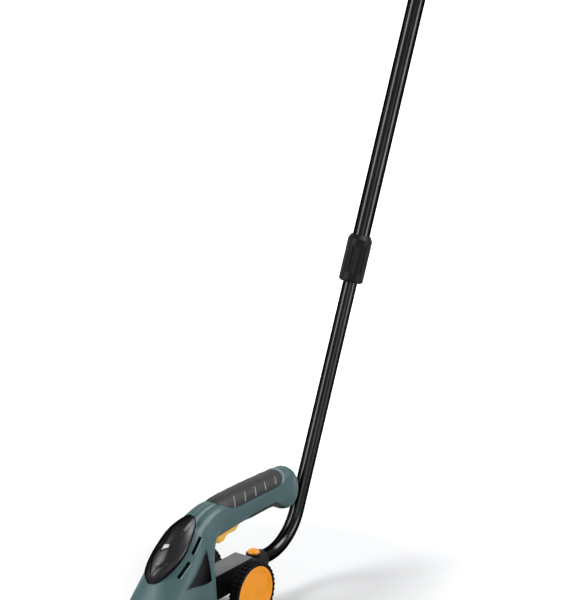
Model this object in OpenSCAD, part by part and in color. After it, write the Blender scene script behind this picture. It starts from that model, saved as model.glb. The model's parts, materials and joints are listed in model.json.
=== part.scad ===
// Cordless grass shears docked on a two-wheel trolley with a telescopic pole.
// Millimetres, +Z up, -Y toward the blades, +X the tool's left side.
// Lengths along Y are counted from the axle and moved to the box's middle at the end.

/* [Wheels] */
// Outer diameter of the tyre
wheel_d = 71; // [60:1:84]
// Width of the tyre
tyre_w = 12; // [9:0.5:16]
// Distance between the middles of the two tyres
track = 70.4; // [66:0.2:90]
// Number of tread lugs round a tyre
lug_count = 36; // [18:2:48]

/* [Trolley] */
// Width of the trolley beam
beam_w = 24; // [22:0.5:28]
// Height of the beam's flat top above the floor
beam_top = 60; // [58:0.5:62]
// Height of the beam itself
beam_h = 28.5; // [26:0.5:30]
// Distance from the axle to the beam's rear end
beam_rear = 33.8; // [30:0.2:38]

/* [Pole] */
// Outer diameter of the lower, bent tube
tube_d = 16; // [14:0.5:17]
// Outer diameter of the upper tube
upper_d = 19; // [18.6:0.2:21]
// Backward lean of the pole
pole_lean = 22.9; // [18:0.1:27]
// Length of the upper tube
upper_len = 424; // [320:2:460]
// Length of the upper tube's overlap with the lower one
tube_overlap = 214; // [205:1:240]

/* [Blades] */
// Reach of the blade teeth in front of the axle
blade_reach = 236; // [228:1:248]
// Pitch of the blade teeth
tooth_pitch = 14; // [12:0.2:15]
// Thickness of each blade
blade_t = 2; // [1.6:0.1:2.2]

/* [Housing] */
// Wall of the two housing halves
wall = 2.5; // [2:0.1:2.8]
// Thickness of the soft pads on the housing
pad_t = 1.2; // [0.8:0.1:1.6]

/* [Hidden] */
$fn = 48;
run_gap = 0.05;
fit_gap = 0.15;
free_gap = 0.3;
skin_gap = 0.08;
far = 200;

teal = [0.26, 0.37, 0.38];
black = [0.04, 0.04, 0.045];
dark = [0.13, 0.13, 0.14];
orange = [0.9, 0.55, 0.13];
steel = [0.68, 0.69, 0.7];
green = [0.1, 0.3, 0.16];
brass = [0.75, 0.6, 0.3];

// Housing stations: top y, top z, bottom y, bottom z, half width, upper and lower exponent
stations = [
    [-176, 20, -172, 2, 30, 2.4, 3],
    [-163, 42, -156, -14, 36, 2.3, 3],
    [-147, 65, -132, -22, 37.5, 2.1, 3.2],
    [-127.5, 88, -104, -20, 37.5, 2, 3.4],
    [-106, 111, -66, -4, 36.5, 2, 4.2],
    [-85, 128, -54.5, 29, 33, 2, 4],
    [-63, 137.5, -53, 61, 26.5, 2, 2.8],
    [-42, 143.3, -50, 86, 21.5, 2.1, 2.2],
    [-20, 145.2, -40, 100, 18.7, 2.2, 2.2],
    [5, 145.4, 2, 103.5, 17.5, 2.2, 2.2],
    [40, 144.4, 38, 105, 17.5, 2.2, 2.2],
    [75, 142.3, 70, 105, 17.5, 2.2, 2.2],
    [98, 141.6, 86, 101, 17.5, 2.2, 2.2],
    [112, 139.3, 97, 95, 17, 2.2, 2.2],
    [121, 130.8, 107, 91.5, 15, 2.2, 2.2],
    [125, 120, 117, 99, 9, 2.2, 2.2]
];
last = len(stations) - 1;
function row(i) = stations[min(max(i, 0), last)];
function blend(a, b, c, d, f) = 0.5 * (2 * b + (c - a) * f
    + (2 * a - 5 * b + 4 * c - d) * f * f + (3 * b - a - 3 * c + d) * f * f * f);
function station(s) = let(i = min(max(floor(s), 0), last - 1))
    blend(row(i - 1), row(i), row(i + 1), row(i + 2), s - i);
function power(v, e) = sign(v) * pow(abs(v), e);
// A point of the housing's surface at station s and angle a, moved out by off
function skin(s, a, off) = let(
    q = station(s),
    d = [q[0] - q[2], q[1] - q[3]],
    h = norm(d) / 2,
    n = sin(a) >= 0 ? q[5] : q[6],
    x = (q[4] + off) * power(cos(a), 2 / n),
    r = (h + off) * power(sin(a), 2 / n)
) [abs(x) < 1e-6 ? 0 : x, (q[0] + q[2]) / 2 + d[0] / 2 / h * r, (q[1] + q[3]) / 2 + d[1] / 2 / h * r];
function unit(v) = v / norm(v);
function skin_normal(s, a) = unit(cross(skin(s, a + 1, 0) - skin(s, a - 1, 0),
    skin(s + 0.03, a, 0) - skin(s - 0.03, a, 0)));

// Derived places
wheel_z = wheel_d / 2;
wheel_in = track / 2 - tyre_w / 2;
wheel_out = track / 2 + tyre_w / 2;
rim_r = wheel_z - 4.2;
axle_r = 3;
axle_end = wheel_out - 5.2;
axle_case_r = 6.5;
beam_low = beam_top - beam_h;
beam_wall = 2.2;
dock_front = -82;
dock_wall = 2;
tube_r = tube_d / 2;
tube_wall = 1;
upper_r = upper_d / 2;
upper_wall = upper_r - tube_r - 0.5;
tube_z = 45;
corner_y = 117;
bend_r = 58;
bend_turn = 90 - pole_lean;
bend_reach = bend_r * tan(bend_turn / 2);
tube_start = 11;
socket_r = tube_r + 2.6;
socket_end = 66;
button_y = 51.5;
button_r = 7;
boss_top = 56.2;
boss_floor = tube_z + tube_r + 0.9;
collar_low = 295;
collar_len = 53;
upper_low = collar_low + 15;
upper_high = upper_low + upper_len;
lower_high = upper_low + tube_overlap;
grip_low = upper_high - 24;
grip_len = 156;
grip_r = 16;
grip_wall = 1.4;
grip_high = grip_low + grip_len;
knob_r = grip_r + 1;
base_z = 15;
plate_low = 17.5;
plate_high = 20;
fixed_low = 10;
fixed_high = fixed_low + blade_t;
moving_low = fixed_high + free_gap;
moving_high = moving_low + blade_t;
shoe_high = fixed_low - 0.1;
pivot_y = -160;
crank_y = -132;
crank_throw = 3.2;
gear_teeth = 48;
pinion_teeth = 12;
gear_module = 1;
motor_y = crank_y + gear_module * (gear_teeth + pinion_teeth) / 2;
motor_r = 14;
motor_low = 31.2;
motor_high = 70;
gear_low = 21;
gear_high = 26;
cover_low = 28;
cover_high = 31;
cell_r = 9.2;
cell_len = 65;
cell_z = 127;
cell_y = -27;
tray_r = cell_r + 1.4;
trigger_y = 17;
trigger_z = 111.5;
trigger_half = 7;
blade_root = 28 - pivot_y;
// Housing screws: y, z and reach of their bosses to each side
screw_spots = [[-148, 34, 33], [-96, 98, 22.7], [-52, 112, 21.9], [108, 112, 15.2]];
// The grip's outline at the top of the pole, as radius and place along the pole
knob_z = grip_high - knob_r;
grip_out = concat([[upper_r + 2.2, grip_low], [grip_r - 0.6, grip_low + 12], [grip_r + 1.2, grip_low + 26],
    [grip_r - 0.8, grip_low + 52], [grip_r, grip_low + 90], [grip_r - 0.6, grip_low + 112]],
    [for (a = [-30:15:90]) [knob_r * cos(a), knob_z + knob_r * sin(a)]]);
back_y = corner_y + max([for (p = grip_out) p[0] * cos(pole_lean) + p[1] * sin(pole_lean)]);
mid_y = (back_y - blade_reach) / 2;

module shift() {
    translate([0, -mid_y, 0]) children();
}
module on_pole() {
    translate([0, corner_y, tube_z]) rotate([-pole_lean, 0, 0]) children();
}
module along_x(r, x0, x1, y, z) {
    translate([x0, y, z]) rotate([0, 90, 0]) cylinder(r = r, h = x1 - x0);
}
module along_y(r, y0, y1, z) {
    translate([0, y0, z]) rotate([-90, 0, 0]) cylinder(r = r, h = y1 - y0);
}
module upright(r, z0, z1, x, y) {
    translate([x, y, z0]) cylinder(r = r, h = z1 - z0);
}
module box(x0, x1, y0, y1, z0, z1) {
    translate([x0, y0, z0]) cube([x1 - x0, y1 - y0, z1 - z0]);
}
module side_plate(points, x0, x1) {
    translate([x0, 0, 0]) rotate([90, 0, 90]) linear_extrude(height = x1 - x0) polygon(points);
}

// A closed solid between two grids of points, the outer one first
module slab(outer, inner) {
    rows = len(outer);
    cols = len(outer[0]);
    flat = [for (g = [outer, inner]) for (r = g) for (p = r) p];
    skip = rows * cols;
    faces = concat(
        [for (i = [0:rows - 2], j = [0:cols - 2]) let(a = i * cols + j)
            each [[a, a + 1, a + cols + 1], [a, a + cols + 1, a + cols]]],
        [for (i = [0:rows - 2], j = [0:cols - 2]) let(a = skip + i * cols + j)
            each [[a, a + cols + 1, a + 1], [a, a + cols, a + cols + 1]]],
        [for (j = [0:cols - 2]) let(a = j) each [[a + 1, a, a + skip], [a + 1, a + skip, a + 1 + skip]]],
        [for (j = [0:cols - 2]) let(a = (rows - 1) * cols + j)
            each [[a, a + 1, a + 1 + skip], [a, a + 1 + skip, a + skip]]],
        [for (i = [0:rows - 2]) let(a = i * cols)
            each [[a, a + cols, a + cols + skip], [a, a + cols + skip, a + skip]]],
        [for (i = [0:rows - 2]) let(a = i * cols + cols - 1)
            each [[a + cols, a, a + skip], [a + cols, a + skip, a + cols + skip]]]
    );
    polyhedron(points = flat, faces = faces, convexity = 6);
}

// One half of the housing as an open shell with closed ends
half_steps = 42;
half_parts = 14;
inner_first = 0.12;
inner_last = last - 0.55;
module half_shell() {
    side = half_parts + 1;
    skip = (half_steps + 1) * side;
    outer = [for (k = [0:half_steps], m = [0:half_parts])
        skin(last * k / half_steps, -90 + 180 * m / half_parts, 0)];
    inner = [for (k = [0:half_steps], m = [0:half_parts])
        skin(inner_first + (inner_last - inner_first) * k / half_steps, -90 + 180 * m / half_parts, -wall)];
    top = half_parts;
    tail = half_steps * side;
    faces = concat(
        [for (k = [0:half_steps - 1], m = [0:half_parts - 1]) let(a = k * side + m)
            each [[a, a + 1, a + side + 1], [a, a + side + 1, a + side]]],
        [for (k = [0:half_steps - 1], m = [0:half_parts - 1]) let(a = skip + k * side + m)
            each [[a, a + side + 1, a + 1], [a, a + side, a + side + 1]]],
        [for (m = [1:half_parts - 1]) each [[0, m + 1, m], [skip, skip + m, skip + m + 1]]],
        [for (m = [1:half_parts - 1]) each [[tail, tail + m, tail + m + 1],
            [skip + tail, skip + tail + m + 1, skip + tail + m]]],
        [for (k = [0:half_steps - 1]) let(a = k * side + top)
            each [[a + side, a, a + skip], [a + side, a + skip, a + side + skip]]],
        [for (k = [0:half_steps - 1]) let(a = k * side)
            each [[a + side + skip, a + skip, a], [a + side + skip, a, a + side]]],
        [[skip + top, top, 0], [skip + top, 0, skip]],
        [[tail + top, skip + tail + top, skip + tail], [tail + top, skip + tail, tail]]
    );
    polyhedron(points = concat(outer, inner), faces = faces, convexity = 8);
}
// A vent slot between two places on the flank
vent_w = 4.2;
vent_depth = 14;
vents = [[5.4, 51.2, 4.48, 52], [4.17, 51.6, 3.4, 56.8]];
module vent(v) {
    p = skin(v[0], v[1], 0);
    q = skin(v[2], v[3], 0);
    n0 = skin_normal((v[0] + v[2]) / 2, (v[1] + v[3]) / 2);
    d = unit(q - p);
    t = unit(cross(n0, d));
    n = cross(d, t);
    c = (p + q) / 2;
    multmatrix([[d[0], t[0], n[0], c[0]], [d[1], t[1], n[1], c[1]], [d[2], t[2], n[2], c[2]], [0, 0, 0, 1]])
        cube([norm(q - p), vent_w, vent_depth], center = true);
}
board_half = 15;
board_back = -72.4;
board_front = board_back - 1.6;
board_low = 68;
board_high = 104;
rail_lip = 3;
rail_low = board_low + 8;
rail_high = rail_low + 12;
rail_reach = 30.6;
module board_rail() {
    difference() {
        box(board_half - 2, rail_reach, board_front - rail_lip, board_back + rail_lip, rail_low, rail_high);
        box(0, board_half + fit_gap, board_front - fit_gap, board_back + fit_gap, board_low, board_high);
    }
}
screw_boss_r = 4;
screw_r = 1.45;
screw_hole_r = 1.6;
screw_bite = 12;
pin_boss_r = 3.4;
pin_boss_in = trigger_half + 0.7;
pin_boss_out = 12.4;
pin_seat = 11.3;
slot_half = trigger_half + 0.6;
slot_front = -27;
slot_back = trigger_y + 5.5;
slot_low = 84;
slot_high = trigger_z - 0.5;
dock_room = dock_wall + 0.5;
dock_back = -30;
jack_r = 5;
jack_z = 107;
jack_front = 112.4;
jack_flange = 1.4;
jack_hole = jack_front + jack_flange + 0.1;
module housing_half() {
    difference() {
        union() {
            half_shell();
            board_rail();
            for (p = screw_spots) along_x(screw_boss_r, 0, p[2], p[0], p[1]);
            along_x(pin_boss_r, pin_boss_in, pin_boss_out, trigger_y, trigger_z);
        }
        box(-far, far, -far, 0, -far, base_z);
        for (v = vents) vent(v);
        box(-slot_half, slot_half, slot_front, slot_back, slot_low, slot_high);
        box(-beam_w / 2 - dock_room, beam_w / 2 + dock_room, dock_front - 6, dock_back,
            beam_low - dock_room, beam_top + dock_room);
        along_y(jack_r + 0.2, jack_hole, far, jack_z);
        for (p = screw_spots) along_x(screw_hole_r, -1, p[2] - 2.5, p[0], p[1]);
        along_x(screw_hole_r, trigger_half, pin_seat, trigger_y, trigger_z);
    }
}
screw_head = 2.6;
head_depth = 4;
lock_y = -32;
lock_z = 118;
lock_r = 5;
lock_out = -21.6;
lock_in = -12;
module left_housing() {
    color(teal) shift() housing_half();
}
module right_housing() {
    color(teal) shift() difference() {
        mirror([1, 0, 0]) housing_half();
        along_x(lock_r + run_gap, -far, lock_in - 2, lock_y, lock_z);
        for (p = screw_spots) along_x(screw_head + 0.2, -far, -p[2] + head_depth, p[0], p[1]);
    }
}
// The domed front pad: a blunt oval in station and angle, full across its crown
pad_mid = 4.375;
pad_half = 1.657;
pad_spread = 29.5;
pad_crown = 7.3;
pad_lean = 0.4;
pad_steps = 24;
pad_parts = 8;
pad_tip = 4;
pad_blunt = 0.73;
pad_ends = 0.3;
pad_full = 0.28;
function pad_turn(i) = pad_tip + (180 - 2 * pad_tip) * i / pad_steps;
function pad_skin(turn, side, off) =
    skin(pad_mid - pad_half * cos(turn), 90 + pad_spread * pow(sin(turn), pad_blunt) * side, off);
function pad_dome(turn, side) = pad_t + pad_crown * (1 + pad_lean * cos(turn))
    * pow(sin(turn), pad_ends) * pow(max(0, 1 - side * side), pad_full);
function pad_grid(dome) = [for (i = [0:pad_steps]) [for (j = [-pad_parts:pad_parts])
    let(turn = pad_turn(i), side = sin(90 * j / pad_parts))
        pad_skin(turn, side, skin_gap + dome * pad_dome(turn, side))]];
module front_pad() {
    color(dark) shift() slab(pad_grid(1), pad_grid(0));
}
// The lamp window on the pad's crest, as turn of its middle and half sizes
lamp_turn = 75.6;
lamp_turn_half = 3;
lamp_side_half = 0.15;
lamp_high = 0.6;
lamp_parts = 3;
function lamp_grid(off) = [for (i = [-lamp_parts:lamp_parts]) [for (j = [-lamp_parts:lamp_parts])
    let(turn = lamp_turn + lamp_turn_half * i / lamp_parts, side = lamp_side_half * j / lamp_parts)
        pad_skin(turn, side, pad_dome(turn, side) + 3 * skin_gap + off)]];
module charge_lamp() {
    color([0.85, 0.87, 0.88]) shift() slab(lamp_grid(lamp_high), lamp_grid(0));
}
// Outline of the soft grip over the handle
grip_spread = 71;
grip_steps = 16;
grip_parts = 8;
function grip_front(side) = 7.7 + 0.87 * pow(side, 2);
function grip_back(side) = 11.62 - 0.4 * pow(side, 4);
function grip_grid(off) = [for (i = [0:grip_steps]) [for (j = [-grip_parts:grip_parts])
    let(side = j / grip_parts, f = i / grip_steps)
        skin(grip_front(side) * (1 - f) + grip_back(side) * f, 90 + grip_spread * side, off)]];
module upper_grip() {
    color(dark) shift() slab(grip_grid(pad_t + 0.05), grip_grid(skin_gap));
}
// The strip under the handle, which runs on below the hooked butt
strip_first = 9.65;
strip_last = 13.7;
strip_spread = 56;
strip_steps = 24;
strip_parts = 7;
strip_lift = 0.2;
function strip_grid(off) = [for (i = [0:strip_steps]) [for (j = [-strip_parts:strip_parts])
    skin(strip_first + (strip_last - strip_first) * i / strip_steps,
        -90 + strip_spread * j / strip_parts, off)]];
module lower_grip() {
    color(dark) shift() slab(strip_grid(pad_t + 0.05), strip_grid(strip_lift));
}
// Corners of the three-sided plate on each flank, as station and angle
badge_steps = 10;
badge_front = [[3.38, 38], [3.55, 33.5]];
badge_back = [[5.16, 31.6], [4.78, 1]];
badge_t = 0.7;
function badge_line(end, f) = badge_front[end] * (1 - f) + badge_back[end] * f;
function badge_grid(off) = [for (i = [0:badge_steps]) [for (j = [0:badge_steps])
    let(f = i / badge_steps, g = j / badge_steps, r = badge_line(1, f) * (1 - g) + badge_line(0, f) * g)
        skin(r[0], r[1], off)]];
module badge() {
    slab(badge_grid(skin_gap + badge_t), badge_grid(skin_gap));
}
module left_badge() {
    color(black) shift() badge();
}
module right_badge() {
    color(black) shift() mirror([1, 0, 0]) badge();
}
module housing_screws() {
    color(steel) shift() for (p = screw_spots) {
        along_x(screw_r, -p[2] + 2.5, min(p[2] - 3, screw_bite), p[0], p[1]);
        along_x(screw_head, -p[2] + head_depth - 1.8, -p[2] + head_depth - 0.1, p[0], p[1]);
    }
}

// Plates and gears under the motor
plate_outline = [[-19, -72], [-28, -84], [-32.6, -104], [-34, -130], [-32.4, -152], [-28, -167],
    [-14, -170.5]];
module plate_shape() {
    polygon(concat(plate_outline, [for (i = [len(plate_outline) - 1:-1:0])
        [-plate_outline[i][0], plate_outline[i][1]]]));
}
blade_spots = [[-22, -100], [22, -100]];
blade_screw_r = 2;
blade_hole_r = 2.1;
crank_shaft_r = 3;
bolt_r = 4;
post_spots = [[-29.5, -140], [29.5, -140], [-18, -92], [18, -92]];
post_r = 2.6;
module chassis_plate() {
    color(steel) shift() difference() {
        translate([0, 0, plate_low]) linear_extrude(height = plate_high - plate_low) plate_shape();
        upright(crank_shaft_r + run_gap, 10, 30, 0, crank_y);
        upright(bolt_r + fit_gap, 10, 30, 0, pivot_y);
        for (p = blade_spots) upright(blade_hole_r, 10, 30, p[0], p[1]);
    }
}
cover_half = 32.4;
module gear_cover() {
    color(dark) shift() difference() {
        translate([0, 0, cover_low]) linear_extrude(height = cover_high - cover_low)
            polygon([[-cover_half, crank_y - 12], [cover_half, crank_y - 12], [cover_half, crank_y - 2],
                [22, motor_y + 13], [-22, motor_y + 13], [-cover_half, crank_y - 2]]);
        upright(crank_shaft_r + run_gap, 20, 40, 0, crank_y);
        upright(5, 20, 40, 0, motor_y);
        for (p = post_spots) upright(1.6, 20, 40, p[0], p[1]);
    }
}
module gear_posts() {
    color(steel) shift() for (p = post_spots) {
        upright(post_r, plate_high + 0.02, cover_low - 0.02, p[0], p[1]);
        upright(1.45, cover_low - 0.02, cover_high, p[0], p[1]);
        upright(2.8, cover_high + 0.02, cover_high + 2, p[0], p[1]);
    }
}
motor_shaft_r = 1.5;
module motor_can() {
    color(steel) shift() difference() {
        upright(motor_r, motor_low, motor_high, 0, motor_y);
        upright(motor_r - 3.4, motor_low + 2, motor_high - 2, 0, motor_y);
        upright(motor_shaft_r + run_gap, motor_low - 1, motor_high + 1, 0, motor_y);
    }
}
module motor_armature() {
    color(brass) shift() {
        upright(motor_shaft_r, gear_low - 0.6, motor_high + 1.5, 0, motor_y);
        upright(9.6, motor_low + 6, motor_high - 8, 0, motor_y);
        upright(4.5, motor_high - 8, motor_high - 3, 0, motor_y);
    }
}
// A gear outline with plain sloping flanks and a little backlash
function gear_points(teeth, m) = let(r = teeth * m / 2, p = 360 / teeth)
    [for (i = [0:teeth - 1]) each [
        [(r - 1.15 * m) * cos(p * (i - 0.33)), (r - 1.15 * m) * sin(p * (i - 0.33))],
        [r * cos(p * (i - 0.215)), r * sin(p * (i - 0.215))],
        [(r + 0.75 * m) * cos(p * (i - 0.11)), (r + 0.75 * m) * sin(p * (i - 0.11))],
        [(r + 0.75 * m) * cos(p * (i + 0.11)), (r + 0.75 * m) * sin(p * (i + 0.11))],
        [r * cos(p * (i + 0.215)), r * sin(p * (i + 0.215))],
        [(r - 1.15 * m) * cos(p * (i + 0.33)), (r - 1.15 * m) * sin(p * (i + 0.33))]]];
module motor_pinion() {
    color(brass) shift() translate([0, motor_y, gear_low]) difference() {
        rotate([0, 0, -90 + 180 / pinion_teeth]) linear_extrude(height = gear_high - gear_low + 0.6)
            polygon(gear_points(pinion_teeth, gear_module));
        translate([0, 0, -1]) cylinder(r = motor_shaft_r + 0.02, h = 12);
    }
}
module drive_gear() {
    color(steel) shift() translate([0, crank_y, gear_low]) difference() {
        union() {
            rotate([0, 0, 90]) linear_extrude(height = gear_high - gear_low)
                polygon(gear_points(gear_teeth, gear_module));
            cylinder(r = 8, h = cover_low - gear_low - 0.6);
        }
        translate([0, 0, -1]) cylinder(r = crank_shaft_r + 0.02, h = 12);
    }
}
crank_pin_low = moving_high + 0.5;
module crank_shaft() {
    color(steel) shift() {
        upright(crank_shaft_r, crank_pin_low + 0.9, cover_high - 0.4, 0, crank_y);
        upright(7, crank_pin_low + 0.9, plate_low - 0.4, 0, crank_y);
        upright(2.5, crank_pin_low, crank_pin_low + 1.2, 0, crank_y + crank_throw);
    }
}

// Blades
blade_back = -92;
fork_half = 2.8;
fork_back = crank_y + 10;
fork_front = crank_y - 6;
tooth_half = 4.6;
tip_half = 1.3;
function teeth_points(centres) = [for (c = centres) each [
    [c - tooth_half, -blade_root], [c - tip_half, -blade_reach + 1.5], [c, -blade_reach],
    [c + tip_half, -blade_reach + 1.5], [c + tooth_half, -blade_root]]];
fixed_teeth = [for (i = [-2.5:1:2.5]) i * tooth_pitch];
moving_teeth = [for (i = [-2:1:2]) i * tooth_pitch];
module fixed_blade() {
    color(steel) shift() difference() {
        translate([0, 0, fixed_low]) linear_extrude(height = blade_t)
            polygon(concat([[-28, blade_back], [-30, pivot_y - 5]], teeth_points(fixed_teeth),
                [[30, pivot_y - 5], [28, blade_back]]));
        upright(bolt_r + fit_gap, 0, 30, 0, pivot_y);
        for (p = blade_spots) upright(blade_hole_r, 0, 30, p[0], p[1]);
        box(-10, 10, crank_y - 18, crank_y + 27, 0, 30);
    }
}
module moving_blade() {
    color(steel) shift() difference() {
        translate([0, 0, moving_low]) linear_extrude(height = blade_t)
            polygon(concat([[-9, fork_back], [-9, pivot_y + 10], [-26, pivot_y - 6]],
                teeth_points(moving_teeth),
                [[26, pivot_y - 6], [9, pivot_y + 10], [9, fork_back], [fork_half, fork_back],
                [fork_half, fork_front], [-fork_half, fork_front], [-fork_half, fork_back]]));
        upright(bolt_r + run_gap, 0, 30, 0, pivot_y);
    }
}
module blade_bolt() {
    color(steel) shift() {
        upright(bolt_r, shoe_high - 3.5, plate_high, 0, pivot_y);
        upright(6.5, shoe_high - 3.5, shoe_high, 0, pivot_y);
    }
}
module blade_spacers() {
    color(steel) shift() for (p = blade_spots) difference() {
        upright(4, fixed_high + 0.02, plate_low - 0.02, p[0], p[1]);
        upright(blade_hole_r, 0, 30, p[0], p[1]);
    }
}
module blade_screws() {
    color(steel) shift() for (p = blade_spots) {
        upright(blade_screw_r, 1, plate_high + 1, p[0], p[1]);
        upright(3.8, 1, 3.6, p[0], p[1]);
    }
}
shoe_half = 31;
shoe_floor = 4.2;
module skid_shoe() {
    color(black) shift() difference() {
        side_plate([[-178, shoe_high], [-172, 4], [-162, 0], [-84, 0], [-78, 3], [-74, shoe_high]],
            -shoe_half, shoe_half);
        box(-28.5, 28.5, -171, -112, shoe_floor, 30);
        box(-15, 15, -112.5, -80, shoe_floor, 30);
        for (p = blade_spots) upright(2.2, -1, 30, p[0], p[1]);
        for (p = blade_spots) upright(4.1, -1, 3.8, p[0], p[1]);
    }
}

// Power and controls inside the handle
cell_gap = 0.8;
cell_cap = 1.2;
cell_cap_r = 3;
module battery_cells() {
    color([0.2, 0.35, 0.5]) shift() for (i = [0, 1]) {
        front = cell_y + i * (cell_len + cell_gap);
        along_y(cell_r, front, front + cell_len - cell_cap, cell_z);
        along_y(cell_cap_r, front + cell_len - cell_cap, front + cell_len + cell_gap / 2, cell_z);
    }
}
module battery_tray() {
    color(dark) shift() difference() {
        along_y(tray_r, cell_y - 1, cell_y + 2 * cell_len + 2, cell_z);
        along_y(cell_r + fit_gap, cell_y - 3, cell_y + 2 * cell_len + 4, cell_z);
        box(-30, 30, cell_y - 3, cell_y + 2 * cell_len + 4, cell_z - 2, cell_z + 30);
    }
}
module circuit_board() {
    color(green) shift() {
        box(-board_half, board_half, board_front, board_back, board_low, board_high);
        box(-6, 6, board_front - 4, board_front, 74, 84);
        along_y_at(4, board_front - 10, board_front, 9, 94);
    }
}
module along_y_at(r, y0, y1, x, z) {
    translate([x, 0, 0]) along_y(r, y0, y1, z);
}
module power_switch() {
    color(black) shift() box(-5, 5, -25, -5, trigger_z - 0.7, cell_z - tray_r - 0.3);
}
module charge_socket() {
    color(black) shift() difference() {
        union() {
            along_y(jack_r, jack_front, jack_front + 7.2, jack_z);
            along_y(jack_r + 1.4, jack_front, jack_front + jack_flange, jack_z);
        }
        along_y(2.75, jack_front + 0.6, far, jack_z);
    }
}
module dock_sleeve() {
    hx = beam_w / 2 + free_gap;
    z0 = beam_low - free_gap;
    z1 = beam_top + free_gap;
    color(dark) shift() difference() {
        box(-hx - dock_wall, hx + dock_wall, dock_front - 3.5, -56, z0 - dock_wall, z1 + dock_wall);
        box(-hx, hx, dock_front - 1, -50, z0, z1);
    }
}
trigger_pin_r = 1.5;
trigger_outline = [[21, 108], [16.5, 103], [13.5, 98.8], [9.5, 96.9], [-6, 97.3], [-10.5, 95],
    [-14, 93.2], [-20, 93.4], [-23.5, 96.5], [-24, 103.5], [-10, 106.5], [12, 110]];
module trigger() {
    color(orange) shift() difference() {
        union() {
            side_plate(trigger_outline, -trigger_half, trigger_half);
            along_x(4, -trigger_half, trigger_half, trigger_y, trigger_z);
        }
        along_x(trigger_pin_r + run_gap, -20, 20, trigger_y, trigger_z);
    }
}
module trigger_pin() {
    color(steel) shift() along_x(trigger_pin_r, -11, 11, trigger_y, trigger_z);
}
// A coil of wire: one unbroken tube of round section
coil_sides = 6;
function coil_point(r, turns, h, t) = [r * cos(360 * turns * t), r * sin(360 * turns * t), h * t];
module coil(r, wire, turns, h) {
    rings = turns * 10;
    climb = h / turns;
    pts = [for (k = [0:rings]) let(t = k / rings, a = 360 * turns * t, p = coil_point(r, turns, h, t),
            n = [cos(a), sin(a), 0], b = unit([-sin(a) * -climb, -cos(a) * climb, 2 * PI * r]))
        for (j = [0:coil_sides - 1]) p + wire * (n * cos(60 * j) + b * sin(60 * j))];
    tail = rings * coil_sides;
    faces = concat(
        [for (k = [0:rings - 1], j = [0:coil_sides - 1]) let(a = k * coil_sides + j,
                b = k * coil_sides + (j + 1) % coil_sides)
            each [[a, b, b + coil_sides], [a, b + coil_sides, a + coil_sides]]],
        [for (j = [1:coil_sides - 2]) each [[0, j + 1, j], [tail, tail + j, tail + j + 1]]]);
    polyhedron(points = pts, faces = faces, convexity = 10);
    echo(str("least gap of a coil to itself: ", climb - 2 * wire));
}
trigger_spring_y = 4;
trigger_spring_low = 109.5;
trigger_spring_high = cell_z - tray_r - 0.5;
module trigger_spring() {
    color(steel) shift() translate([0, trigger_spring_y, trigger_spring_low])
        coil(2.4, 0.35, 5, trigger_spring_high - trigger_spring_low);
}
module lock_button() {
    color(orange) shift() along_x(lock_r, lock_out, lock_in, lock_y, lock_z);
}

// Trolley
cover_screws = [-44, -18];
button_pin_r = 2.2;
module trolley_body() {
    hx = beam_w / 2;
    color(black) shift() difference() {
        union() {
            difference() {
                box(-hx, hx, dock_front, beam_rear, beam_low, beam_top);
                box(-hx + beam_wall, hx - beam_wall, dock_front + beam_wall, tube_start - 3.5, beam_low - 1,
                    beam_top - beam_wall);
            }
            along_x(axle_case_r, -wheel_in + 1.4, wheel_in - 1.4, 0, wheel_z);
            along_y(socket_r, beam_rear - 1, socket_end, tube_z);
            upright(button_r + 1.6, tube_z, boss_top, 0, button_y);
            for (y = cover_screws) upright(3, beam_low + 2.1, beam_top - 1, 0, y);
        }
        along_x(axle_r + 0.02, -60, 60, 0, wheel_z);
        along_y(tube_r + fit_gap, tube_start - 0.5, 90, tube_z);
        upright(button_r + 0.3, boss_floor, far, 0, button_y);
        upright(button_pin_r + run_gap, tube_z, far, 0, button_y);
        for (y = cover_screws) upright(1.3, 0, beam_top - 10, 0, y);
    }
}
module trolley_cover() {
    hx = beam_w / 2 - beam_wall - 0.1;
    color(black) shift() difference() {
        box(-hx, hx, dock_front + beam_wall + 0.1, -axle_case_r - 0.6, beam_low, beam_low + 2);
        for (y = cover_screws) upright(1.6, 0, beam_top, 0, y);
    }
}
module trolley_screws() {
    color(steel) shift() for (y = cover_screws) {
        upright(1.25, beam_low - 0.1, beam_top - 12, 0, y);
        upright(2.8, beam_low - 1.9, beam_low - 0.05, 0, y);
    }
}
module axle() {
    color(steel) shift() along_x(axle_r, -axle_end, axle_end, 0, wheel_z);
}
cap_r = 6;
cap_in = 1.4;
cap_out = 0.4;
module axle_caps() {
    color(steel) shift() for (s = [-1, 1]) difference() {
        along_x(cap_r, s > 0 ? axle_end - cap_in : -axle_end - cap_out,
            s > 0 ? axle_end + cap_out : -axle_end + cap_in, 0, wheel_z);
        along_x(axle_r + 0.02, s > 0 ? 0 : -axle_end, s > 0 ? axle_end : 0, 0, wheel_z);
    }
}
// Wheel pieces on the left side, the axle along +X
lug_h = 1.6;
lug_half = 0.26;
lug_foot = 0.34;
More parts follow.
